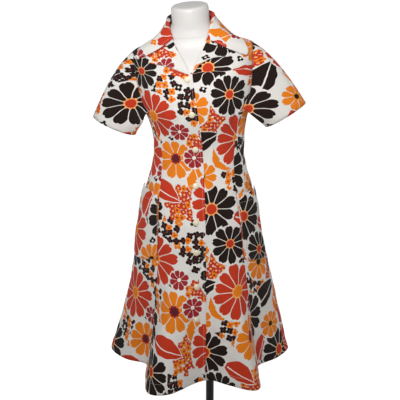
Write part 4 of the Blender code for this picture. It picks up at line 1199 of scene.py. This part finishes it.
# %% The collar
COLLAR = np.array((
    # seam: degrees, height; fold: sideways, forward, height; edge: degrees, height; sag
    (43.5, 1.3255, 0.0440, 0.0520, 1.3310, 72.5, 1.2790, 0.013),
    (54.0, 1.3380, 0.0500, 0.0440, 1.3450, 75.5, 1.2920, 0.009),
    (70.0, 1.3495, 0.0555, 0.0280, 1.3620, 81.0, 1.3075, 0.006),
    (90.0, 1.3525, 0.0575, 0.0000, 1.3770, 90.0, 1.3195, 0.006),
    (112.5, 1.3525, 0.0530, -0.0300, 1.3850, 108.0, 1.3150, 0.004),
    (135.0, 1.3525, 0.0410, -0.0480, 1.3885, 130.0, 1.3070, 0.003),
    (157.5, 1.3525, 0.0220, -0.0590, 1.3900, 154.0, 1.3030, 0.003),
    (180.0, 1.3525, 0.0000, -0.0620, 1.3905, 180.0, 1.3020, 0.003),
))
COLLAR_DROP = (0.008,)  # on the wearer's left, the first station is this much lower
COLLAR_LIFT_FRONT, COLLAR_LIFT_BACK = 0.0064, 0.0040
COLLAR_FRONT_DEGREES, COLLAR_FRONT_SPREAD = 105.0, 30.0
COLLAR_ROLL = 0.0035
ROLL_INSIDE, ROLL_OUT, ROLL_UP, ROLL_END = 0.6, 0.5, 0.2, 1.6
COLLAR_FALL = (0.10, 0.32, 0.55, 0.78, 1.0)
COLLAR_STEP_ROUND, COLLAR_STEP_ACROSS = 0.004, 0.003


def collar_section(station, side):
    """Points across the collar at one station, each with its least lift off the dress."""
    seam_deg, seam_z, fold_x, fold_y, fold_z, edge_deg, edge_z, sag = COLLAR[station]
    drop = COLLAR_DROP[station] if side > 0 and station < len(COLLAR_DROP) else 0.0
    seam_z, fold_z, edge_z = seam_z - drop, fold_z - drop, edge_z - drop
    if drop:
        seam_deg = float(curve(NECK_EDGE, 1, seam_z))
    seam = upright(side * math.radians(seam_deg), seam_z)
    fold = np.array([side * fold_x, -fold_y, fold_z])
    edge_angle = side * math.radians(edge_deg)
    front = ease((COLLAR_FRONT_DEGREES - edge_deg) / COLLAR_FRONT_SPREAD)
    lift = COLLAR_LIFT_BACK + (COLLAR_LIFT_FRONT - COLLAR_LIFT_BACK) * front
    edge = upright(edge_angle, edge_z) + outward(edge_angle, edge_z) * lift
    level = np.array([edge[0] - fold[0], edge[1] - fold[1], 0.0])
    level /= np.linalg.norm(level)
    up = np.array([0.0, 0.0, 1.0])
    seam = seam + up * (ON_PANEL + LAYER) - level * WALL
    points = [seam, (seam + fold) / 2.0 - level * LAYER, fold - up * COLLAR_ROLL * ROLL_INSIDE,
              fold + (level * ROLL_OUT + up * ROLL_UP) * COLLAR_ROLL]
    start = fold + level * COLLAR_ROLL * ROLL_END
    lifts = [-COLLAR_LIFT_FRONT] * 3 + [ON_PANEL] + [float(lift)] * len(COLLAR_FALL)
    points += [start + (edge - start) * t - up * sag * math.sin(math.pi * t) for t in COLLAR_FALL]
    return np.column_stack([points, lifts])


def clear_of_body(points, lifts):
    """The points, moved out from the axis where they are nearer the dress than their lifts."""
    theta = np.arctan2(points[..., 0], -points[..., 1])
    least = upright(theta, points[..., 2]) + outward(theta, points[..., 2]) * lifts[..., None]
    nearer = np.hypot(points[..., 0], points[..., 1]) < np.hypot(least[..., 0], least[..., 1])
    return np.where((nearer & (lifts > 0.0))[..., None], least, points)


def collar_grid():
    """Columns run from the wearer's right front, round the back, to the left front."""
    stations = [collar_section(station, -1.0) for station in range(len(COLLAR))]
    stations += [collar_section(station, 1.0) for station in range(len(COLLAR) - 2, -1, -1)]
    grid = np.array(stations).transpose(1, 0, 2)
    grid[..., :3] = clear_of_body(grid[..., :3], grid[..., 3])
    fine = refined(refined(grid, 1, COLLAR_STEP_ROUND), 0, COLLAR_STEP_ACROSS)
    return settled(clear_of_body(fine[..., :3], fine[..., 3]))


collar = collar_grid()
cloth("collar", collar, flat_sizes(collar, collar.shape[1] // 2),
      cut_at=(0.27, 0.09))
print(f"cut pieces {len(CUT_AREAS)}, together {sum(CUT_AREAS.values()):.2f} m2")

# %% [markdown]
# ## Stitching
#
# Topstitching holds the edges: 6 mm in on the collar and the front edge, 5 mm in on the lapels,
# 2 mm in round the pockets, and along the hems. It could be a bump line, but real beads catch the
# light one by one. A guide mesh has one short edge for each stitch, and a geometry node tree sets a
# slim bead along every one. The buttonholes are worked the same way, with their stitches side by
# side across the slit. The thread is drawn 0.55 mm thick, about twice as thick as real, to show.

# %% Thread
STITCH, STITCH_GAP, THREAD_THICK = 0.0026, 0.0009, 0.00055
STITCH_LIFT = 0.0001
CLOUDS, CLOUDY_GLOSS = 14.0, 0.12  # clouds a metre, and how much the roughness varies with them


def plain_material(name, colour, roughness, grain, depth, strength=0.0, **inputs):
    """A hard, nearly even finish: a little cloudy in colour, and with so many fine grains a metre."""
    made, tree = new_material(name)
    place = node(tree, "ShaderNodeTexCoord", out="Object")
    cloud = node(tree, "ShaderNodeTexNoise", {"Vector": place, "Scale": CLOUDS, "Detail": 3.0})
    shade = node(tree, MATH, cloud, 2.0 * strength, 1.0 - strength, operation="MULTIPLY_ADD")
    tinted = node(tree, VECTOR, linear(colour)[:3], {"Scale": shade}, operation="SCALE")
    matt = node(tree, MATH, cloud, CLOUDY_GLOSS, roughness - CLOUDY_GLOSS / 2.0, operation="MULTIPLY_ADD")
    fine = node(tree, "ShaderNodeTexNoise", {"Vector": place, "Scale": grain, "Detail": 2.0})
    bump = node(tree, "ShaderNodeBump", {"Height": fine, "Distance": depth, "Strength": 1.0})
    shader = node(tree, "ShaderNodeBsdfPrincipled", {
        "Base Color": tinted, "Roughness": matt, "Normal": bump, **inputs})
    node(tree, "ShaderNodeOutputMaterial", shader)
    return made


# Spun polyester sewing thread: off-white, with a soft sheen, and a twist that shows every 0.4 mm.
SEWING_THREAD = plain_material("sewing_thread", "#E9E2D6", 0.62, 2600.0, 0.00008, 0.02,
                               **{"Sheen Weight": 0.25})
print(SEWING_THREAD.name, "in stitches of", STITCH, "m")


# %% A tree that sews
def stitch_tree():
    """Turns every edge of a guide mesh into a stitch: a slim bead from end to end."""
    tree, given = new_group("stitches", "GeometryNodeTree", {
        "Guide": "Geometry", "Thickness": "Float", "Thread": "Material"}, "Geometry")
    ends = node(tree, "GeometryNodeInputMeshEdgeVertices", out="Position 1")
    way = node(tree, VECTOR, ends.node.outputs["Position 2"], ends, operation="SUBTRACT")
    caught = tree.nodes.new("GeometryNodeCaptureAttribute")
    caught.capture_items.new("VECTOR", "Way")
    caught.domain = "EDGE"
    tree.links.new(given["Guide"], caught.inputs["Geometry"])
    tree.links.new(way, caught.inputs["Way"])
    kept = caught.outputs["Way"]
    points = node(tree, "GeometryNodeMeshToPoints", caught.outputs["Geometry"], mode="EDGES")
    bead = node(tree, "GeometryNodeMeshUVSphere", {"Segments": 7, "Rings": 6, "Radius": 0.5})
    facing = node(tree, "FunctionNodeAlignRotationToVector", {"Vector": kept}, axis="Z")
    long = node(tree, VECTOR, kept, operation="LENGTH", out="Value")
    size = node(tree, "ShaderNodeCombineXYZ", given["Thickness"], given["Thickness"], long)
    beads = node(tree, "GeometryNodeInstanceOnPoints", {
        "Points": points, "Instance": bead, "Rotation": facing, "Scale": size})
    beads = node(tree, "GeometryNodeRealizeInstances", beads)
    beads = node(tree, "GeometryNodeSetShadeSmooth", beads)
    beads = node(tree, "GeometryNodeSetMaterial", beads, {"Material": given["Thread"]})
    node(tree, "NodeGroupOutput", beads)
    return tree


def made_by(tree, base, **inputs):
    """What a geometry node tree makes of an object, as a plain mesh in place of the object's own."""
    modifier = base.modifiers.new(tree.name, "NODES")
    modifier.node_group = tree
    for socket in tree.interface.items_tree:
        key = socket.name.replace(" ", "_").lower()
        if key in inputs:
            modifier[socket.identifier] = inputs[key]
    settled_scene = bpy.context.evaluated_depsgraph_get()
    mesh = bpy.data.meshes.new_from_object(base.evaluated_get(settled_scene))
    base.modifiers.clear()
    base.data = mesh
    return base


# %% Lines to sew along
def outward_of(grid):
    """The outward direction at each point of a grid."""
    normal = np.cross(np.gradient(grid, axis=1), np.gradient(grid, axis=0))
    return normal / np.maximum(np.linalg.norm(normal, axis=-1, keepdims=True), 1e-9)


def inset(grid, edge, distance, ends=(0.0, 0.0)):
    """A line along one edge of a piece and this far in, and the outward direction along it."""
    normals = outward_of(grid)
    if edge in ("first column", "last column"):
        grid, normals = grid.transpose(1, 0, 2), normals.transpose(1, 0, 2)
    if edge in ("last row", "last column"):
        grid, normals = grid[::-1], normals[::-1]
    lengths = spans(grid, 0)
    line, facing = [], []
    for column in range(grid.shape[1]):
        place = np.interp(distance, lengths[:, column], np.arange(len(grid)))
        low = min(int(place), len(grid) - 2)
        t = place - low
        line.append(grid[low, column] * (1.0 - t) + grid[low + 1, column] * t)
        facing.append(normals[low, column] * (1.0 - t) + normals[low + 1, column] * t)
    line, facing = np.array(line), np.array(facing)
    along = spans(line, 0)
    kept = (along >= ends[0]) & (along <= along[-1] - ends[1])
    return line[kept], facing[kept]


def stitches_along(line, facing):
    """Both ends of each stitch on a line, lifted to lie on the cloth."""
    along = spans(line, 0)
    starts = np.arange(0.0, along[-1] - STITCH, STITCH + STITCH_GAP)
    ends = []
    for at in (starts, starts + STITCH):
        place = np.stack([np.interp(at, along, line[:, axis]) for axis in range(3)], axis=-1)
        out = np.stack([np.interp(at, along, facing[:, axis]) for axis in range(3)], axis=-1)
        ends.append(place + out * STITCH_LIFT)
    return np.stack(ends, axis=1)


def sewn(name, stitches, thickness=THREAD_THICK):
    """One mesh of all these stitches."""
    points = np.concatenate(stitches).reshape(-1, 3)
    guide = bpy.data.meshes.new(name)
    guide.from_pydata(points.tolist(), [(i, i + 1) for i in range(0, len(points), 2)], [])
    thread = new_object(name, guide)
    made_by(STITCHES, thread, thickness=thickness, thread=SEWING_THREAD)
    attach(thread, "root")
    print(f"{name}: {len(points) // 2} stitches, {len(thread.data.polygons)} faces")
    return thread


# %% The topstitching
STITCHES = stitch_tree()
EDGE_IN, LAPEL_IN, POCKET_IN, POCKET_HEM, SLEEVE_HEM = 0.006, 0.0048, 0.002, 0.025, 0.020
# How far short of an edge's end a line stops: in general, at the lapel, the neck seam and the break
SHORT, AT_LAPEL, AT_NECK, AT_BREAK = 0.002, 0.115, 0.020, 0.012
lines = [inset(collar, "last row", EDGE_IN, (EDGE_IN, EDGE_IN))]
lines += [inset(collar, edge, EDGE_IN, (AT_NECK, EDGE_IN)) for edge in ("first column", "last column")]
lines += [inset(FRONTS["right"], "last column", EDGE_IN, (SHORT, AT_LAPEL))]
for name, outer in (("right", "first column"), ("left", "last column")):
    lines.append(inset(LAPEL_GRIDS[name], outer, LAPEL_IN, (AT_BREAK, EDGE_IN)))
    lines += [inset(POCKETS[name], edge, POCKET_IN) for edge in ("first row", "first column", "last column")]
    lines.append(inset(POCKETS[name], "last row", POCKET_HEM, (SHORT, SHORT)))
    lines.append(inset(SLEEVES[name], "first row", SLEEVE_HEM))
    lines.append(inset(FRONTS[name], "first row", HEM_BAND))
lines.append(inset(back, "first row", HEM_BAND))
sewn("topstitching", [stitches_along(*line) for line in lines])

# %% [markdown]
# ## Buttons and buttonholes
#
# Eight domed buttons of a polished cream plastic sit on a small turned foot. One is turned from
# its profile, and a geometry node tree sets a copy at each seat, so that all are one mesh. They
# could be copied by a loop, but the tree also turns each one to face the way that the cloth does.
# Each buttonhole runs sideways from its button, between two close rows of stitches.

# %% The seats
BUTTON_HEIGHTS = (1.228, 1.136, 1.033, 0.931, 0.833, 0.749, 0.653, 0.561)
BUTTON_THREAD = 0.0006  # the thread holds the button this far off the cloth
BUTTON_PROFILE = (
    # radius and height, from the top down the outside
    (0.0001, 0.0050), (0.0014, 0.00494), (0.0029, 0.00472), (0.0044, 0.00432), (0.0057, 0.00372),
    (0.0066, 0.00308), (0.0070, 0.00268), (0.0073, 0.00262), (0.0078, 0.00272), (0.0082, 0.00250),
    (0.0085, 0.00196), (0.0084, 0.00130), (0.0078, 0.00070), (0.0062, 0.00030), (0.0030, 0.0), (0.0001, 0.0),
)
BUTTONHOLE = (0.0030, -0.0155)  # metres sideways of the button's middle where the slit starts and ends
SLIT_HALF, ROW_HALF, SATIN_STEP, SATIN_THICK = 0.0003, 0.0013, 0.00055, 0.00055
SATIN_HIGH, SATIN_LOW, BAR_STEP = 0.0002, 0.0001, 0.0006


def on_front(sideways, height, lift=0.0):
    """A point on the overlapping front, by how far it is sideways of the button line."""
    line = float(curve(BUTTON_LINE, 1, height))
    return cloth_point(angle_at(line + sideways, height), height, ON_PANEL + lift)


def facing_on_front(height):
    """The direction that the overlapping front faces at the button line."""
    across = on_front(0.003, height) - on_front(-0.003, height)
    up = on_front(0.0, height + 0.003) - on_front(0.0, height - 0.003)
    out = np.cross(across, up)
    return out / np.linalg.norm(out)


def turned_grid(profile, columns=48):
    """A ring grid from a profile of radius and height, from its top down its outside."""
    turn = np.linspace(0.0, 2.0 * math.pi, columns + 1)
    radii, heights = np.array(profile)[::-1].T
    return np.stack([radii[:, None] * np.cos(turn), radii[:, None] * np.sin(turn),
                     heights[:, None] + 0.0 * turn], axis=-1)


print("seats", len(BUTTON_HEIGHTS), "on a line that faces", facing_on_front(WAIST).round(2))

# %% The buttons
# Moulded urea plastic: cream, hard and polished, a little clouded, uneven every 3 mm or so.
CREAM_PLASTIC = plain_material("cream_plastic", "#E8DDBF", 0.20, 300.0, 0.00002, 0.06, **{
    "Coat Weight": 0.4, "Coat Roughness": 0.08, "Subsurface Weight": 0.08,
    "Subsurface Radius": (0.004, 0.003, 0.002)})


def button_tree():
    """Sets a copy of one button on every seat, facing the way that the seat faces."""
    tree, given = new_group("buttons", "GeometryNodeTree", {
        "Button": "Geometry", "Seats": "Object", "Plastic": "Material"}, "Geometry")
    seats = node(tree, "GeometryNodeObjectInfo", given["Seats"], out="Geometry")
    out = node(tree, "GeometryNodeInputNamedAttribute", "facing", data_type="FLOAT_VECTOR")
    facing = node(tree, "FunctionNodeAlignRotationToVector", {"Vector": out}, axis="Z")
    copies = node(tree, "GeometryNodeInstanceOnPoints", {
        "Points": seats, "Instance": given["Button"], "Rotation": facing})
    copies = node(tree, "GeometryNodeRealizeInstances", copies)
    copies = node(tree, "GeometryNodeSetMaterial", copies, {"Material": given["Plastic"]})
    node(tree, "NodeGroupOutput", copies)
    return tree


facings = [facing_on_front(height) for height in BUTTON_HEIGHTS]
seats = [on_front(0.0, height, BUTTON_THREAD) for height in BUTTON_HEIGHTS]
seat_mesh = bpy.data.meshes.new("seats")
seat_mesh.from_pydata([tuple(map(float, seat)) for seat in seats], [], [])
facing = seat_mesh.attributes.new("facing", "FLOAT_VECTOR", "POINT")
facing.data.foreach_set("vector", np.array(facings).ravel())
seat_points = new_object("seats", seat_mesh)
buttons = mesh_from_grid("buttons", turned_grid(BUTTON_PROFILE, 32), ring=True, closed=True)
made_by(button_tree(), buttons, seats=seat_points, plastic=CREAM_PLASTIC)
bpy.data.objects.remove(seat_points)
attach(buttons, "root")
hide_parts(*[f"button_{number}" for number in range(1, len(BUTTON_HEIGHTS) + 1)])
print("buttons", len(seats), "faces", len(buttons.data.polygons))

# %% The buttonholes
satin = []
for height in BUTTON_HEIGHTS:
    for x in np.arange(BUTTONHOLE[1], BUTTONHOLE[0], SATIN_STEP):
        for near, far in ((SLIT_HALF, ROW_HALF), (-SLIT_HALF, -ROW_HALF)):
            satin.append([[on_front(x, height + near, SATIN_HIGH), on_front(x, height + far, SATIN_LOW)]])
    for x in (BUTTONHOLE[1], BUTTONHOLE[1] - BAR_STEP):
        satin.append([[on_front(x, height + half, SATIN_HIGH) for half in (-ROW_HALF, ROW_HALF)]])
sewn("buttonholes", [np.array(pair) for pair in satin], SATIN_THICK)

# %% [markdown]
# ## The dress form and its stand
#
# The form is a moulded shell with a satin white finish. It could be a body of its own, but rings
# worked out from the dress can't poke through it. They lie 4 mm inside the cloth's outer face at the
# neck and 17 mm at the hips. Only the neck and the chest in the neckline show. A steel pole and a
# round base, both powder coated, carry it.

# %% Sizes of the form and the stand
FORM_ROOM = np.array((
    # height  room
    (0.740, 0.0170), (0.850, 0.0110), (0.965, 0.0070), (1.100, 0.0060), (1.200, 0.0050),
    (1.245, 0.0040), (1.273, 0.0042), (1.298, 0.0046), (1.311, 0.0046), (1.328, 0.0038),
    (1.358, 0.0036),
))
FORM_HIPS = np.array((
    # height  half    front   back
    (0.600, 0.1340, 0.1020, 0.1130),
    (0.606, 0.1420, 0.1100, 0.1210),
    (0.640, 0.1530, 0.1210, 0.1290),
    (0.690, 0.1605, 0.1295, 0.1320),
))
HIP_ROWS = (0.600, 0.602, 0.606, 0.615, 0.628, 0.640, 0.665, 0.690)
NECK_JOINT, FORM_STEP, FORM_TURNS = 1.3295, 0.012, 128
NECK_HALF, NECK_DEPTH, NECK_TOP = 0.0518, 0.0518, 1.412
NECK_RIM = np.array((
    # below the top, in from the side
    (0.045, 0.0000), (0.030, 0.0), (0.016, 0.0), (0.010, 0.0002), (0.0068, 0.0007), (0.004, 0.0018),
    (0.0022, 0.0032), (0.001, 0.0050), (0.0003, 0.0073), (0.000, 0.0100), (0.0, 0.030),
))
NECK_CAP_SLOPE = math.tan(math.radians(5.0))
POLE_RADIUS, POLE_PLATE_RADIUS, POLE_PLATE = 0.0120, 0.036, 0.004
BASE_RADIUS, BASE_THICK, BASE_BEVEL = 0.170, 0.006, 0.0015
BOSS_RADIUS, BOSS_TOP, CLEAR = 0.022, 0.030, 0.0003
AXIS = 0.001  # a turned ring nearest the axis, which a cap closes
print(f"neck {2.0 * NECK_HALF:.3f} m across, base {2.0 * BASE_RADIUS:.3f} m")


# %% Rings of the form
def form_ring(height):
    """Points round the dress form, which fills the cloth with the room that the table gives."""
    theta = np.linspace(0.0, 2.0 * math.pi, FORM_TURNS + 1)
    if height < HIP:
        half, front, behind = (curve(FORM_HIPS, column, height) for column in (1, 2, 3))
        r = oval(theta, half, front, behind, SECTIONS[0, 4])
    else:
        out = outward(theta, height)
        level = out[:, 0] * np.sin(theta) - out[:, 1] * np.cos(theta)
        r = radius(theta, height) - curve(FORM_ROOM, 1, height) / level
    return settled(np.stack([r * np.sin(theta), -r * np.cos(theta), height + 0.0 * r], axis=-1))


def neck_rim_ring(below, inward):
    """Points round the form's neck, near its top."""
    theta = np.linspace(0.0, 2.0 * math.pi, FORM_TURNS + 1)
    x, y = (NECK_HALF - inward) * np.sin(theta), -(NECK_DEPTH - inward) * np.cos(theta)
    return settled(np.stack([x, y, NECK_TOP - below + y * NECK_CAP_SLOPE], axis=-1))


def solid(name, grid, finish):
    """A closed body through rings of points, in place of the plain node of the same name."""
    piece = mesh_from_grid(f"{name}_shell", grid, ring=True, closed=True)
    piece.data.set_sharp_from_angle(angle=math.radians(35.0))
    piece.data.materials.append(finish)
    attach(piece, "root")
    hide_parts(name)
    return piece


# %% The form and the stand
# Moulded glass-fibre shell under satin white paint, with a faint grain every 2.4 mm.
SATIN_WHITE = plain_material("satin_white", "#DAD7D4", 0.42, 420.0, 0.00010, 0.012)
# Steel under satin black powder coat, with its faint orange peel every 1.1 mm.
POWDER_COAT = plain_material("black_powder_coat", "#1B1B1D", 0.48, 900.0, 0.00012, 0.10, **{"Metallic": 0.1})
heights = [*HIP_ROWS, *steps_between(HIP, NECK_JOINT, FORM_STEP), NECK_JOINT]
solid("form_torso", np.array([form_ring(height) for height in heights]), SATIN_WHITE)
neck = [form_ring(height) for height in np.linspace(NECK_JOINT + CLEAR, NECK_SEAM, 5)]
solid("form_neck", np.array(neck + [neck_rim_ring(*row) for row in NECK_RIM]), SATIN_WHITE)
top = FORM_HIPS[0, 0] - CLEAR
pole = [(AXIS, top), (POLE_PLATE_RADIUS, top), (POLE_PLATE_RADIUS, top - POLE_PLATE),
        (POLE_RADIUS, top - POLE_PLATE), (POLE_RADIUS, BOSS_TOP + CLEAR), (AXIS, BOSS_TOP + CLEAR)]
base = [(AXIS, BOSS_TOP), (BOSS_RADIUS - BASE_BEVEL, BOSS_TOP), (BOSS_RADIUS, BOSS_TOP - BASE_BEVEL),
        (BOSS_RADIUS, BASE_THICK), (BASE_RADIUS - BASE_BEVEL, BASE_THICK),
        (BASE_RADIUS, BASE_THICK - BASE_BEVEL), (BASE_RADIUS, 0.0), (AXIS, 0.0)]
solid("stand_pole", turned_grid(pole, 64), POWDER_COAT)
solid("stand_base", turned_grid(base, 128), POWDER_COAT)
print(f"pole from {BOSS_TOP + CLEAR:.4f} to {top:.4f} m up, rings in the torso {len(heights)}")

# %% [markdown]
# ## Camera
#
# A picture of a garment is taken from far off with a long lens, so that near and far parts keep
# their sizes. The camera stands a little to the wearer's left of centre and higher than the form.

# %% Camera
CAMERA_AT = (0.2264, -2.9314, 1.81)
CAMERA_TO = (-0.0299, -0.0026, 0.855)
CAMERA_LENS, CAMERA_SENSOR = 96.75, 36.0


def aimed(item, at, to):
    """Places a camera or a lamp and points it."""
    item.location = at
    item.rotation_euler = (Vector(to) - Vector(at)).to_track_quat("-Z", "Y").to_euler()


camera = new_object("camera", bpy.data.cameras.new("camera"))
camera.data.lens, camera.data.sensor_width = CAMERA_LENS, CAMERA_SENSOR
camera.data.clip_end = 100.0
aimed(camera, CAMERA_AT, CAMERA_TO)
bpy.context.scene.camera = camera
bpy.context.scene.view_settings.view_transform = "Standard"
print(f"camera {(Vector(CAMERA_TO) - Vector(CAMERA_AT)).length:.2f} m from the dress")

# %% [markdown]
# ## Light
#
# A white room lights the dress from all round, brightest above, and one big soft lamp above and in
# front models it. A lamp alone would leave the shadows black, and a room alone would look flat.

# %% Light
ROOM_ABOVE, ROOM_BELOW = 0.37, 0.21
LAMP_WATTS, LAMP_SIZE, LAMP_AT, LAMP_TO = 5.0, 0.7, (-0.12, -1.50, 2.05), (-0.03, 0.0, 1.14)
LAMP_SPREAD = math.radians(75.0)
lamp = new_object("softbox", bpy.data.lights.new("softbox", "AREA"))
lamp.data.energy, lamp.data.size, lamp.data.spread = LAMP_WATTS, LAMP_SIZE, LAMP_SPREAD
aimed(lamp, LAMP_AT, LAMP_TO)

world = bpy.data.worlds.new("studio")
bpy.context.scene.world = world
world.use_nodes = True
world.node_tree.nodes.clear()
sky = world.node_tree
direction = node(sky, "ShaderNodeSeparateXYZ", node(sky, "ShaderNodeTexCoord", out="Generated"), out=2)
bright = node(sky, "ShaderNodeMapRange", direction, -0.25, 0.75, ROOM_BELOW, ROOM_ABOVE)
node(sky, "ShaderNodeOutputWorld", node(sky, "ShaderNodeBackground", (1.0, 1.0, 1.0, 1.0), bright))
print("lamp", LAMP_WATTS, "W, room", ROOM_BELOW, "to", ROOM_ABOVE)

# %% [markdown]
# ## Floor
#
# The floor is a wide sheet of seamless background paper. Behind the dress it is lit from below until
# it is pure white. In front it isn't, because that light would shine up under the skirt.

# %% Floor
# Seamless background paper: matt, with fibres about 1.4 mm apart, too fine to show from here.
FLOOR_HALF = 40.0
PAPER_GLOW, GLOW_FROM, GLOW_TO = 0.75, 0.05, 0.36
corners = [(-FLOOR_HALF, -FLOOR_HALF, 0.0), (FLOOR_HALF, -FLOOR_HALF, 0.0),
           (FLOOR_HALF, FLOOR_HALF, 0.0), (-FLOOR_HALF, FLOOR_HALF, 0.0)]
sheet = bpy.data.meshes.new("floor")
sheet.from_pydata(corners, [], [(0, 1, 2, 3)])
floor = new_object("floor", sheet)
paper, tree = new_material("background_paper")
place = node(tree, "ShaderNodeTexCoord", out="Object")
back_of = node(tree, "ShaderNodeSeparateXYZ", place, out=1)
glow = node(tree, "ShaderNodeMapRange", back_of, GLOW_FROM, GLOW_TO, 0.0, PAPER_GLOW)
fibres = node(tree, "ShaderNodeTexNoise", {"Vector": place, "Scale": 700.0, "Detail": 3.0})
bump = node(tree, "ShaderNodeBump", {"Height": fibres, "Distance": 0.0001})
shader = node(tree, "ShaderNodeBsdfPrincipled", {
    "Base Color": linear("#F7F7F7"), "Roughness": 0.9, "Emission Color": (1.0, 1.0, 1.0, 1.0),
    "Emission Strength": glow, "Normal": bump})
node(tree, "ShaderNodeOutputMaterial", shader)
sheet.materials.append(paper)
print("floor", 2.0 * FLOOR_HALF, "m wide")
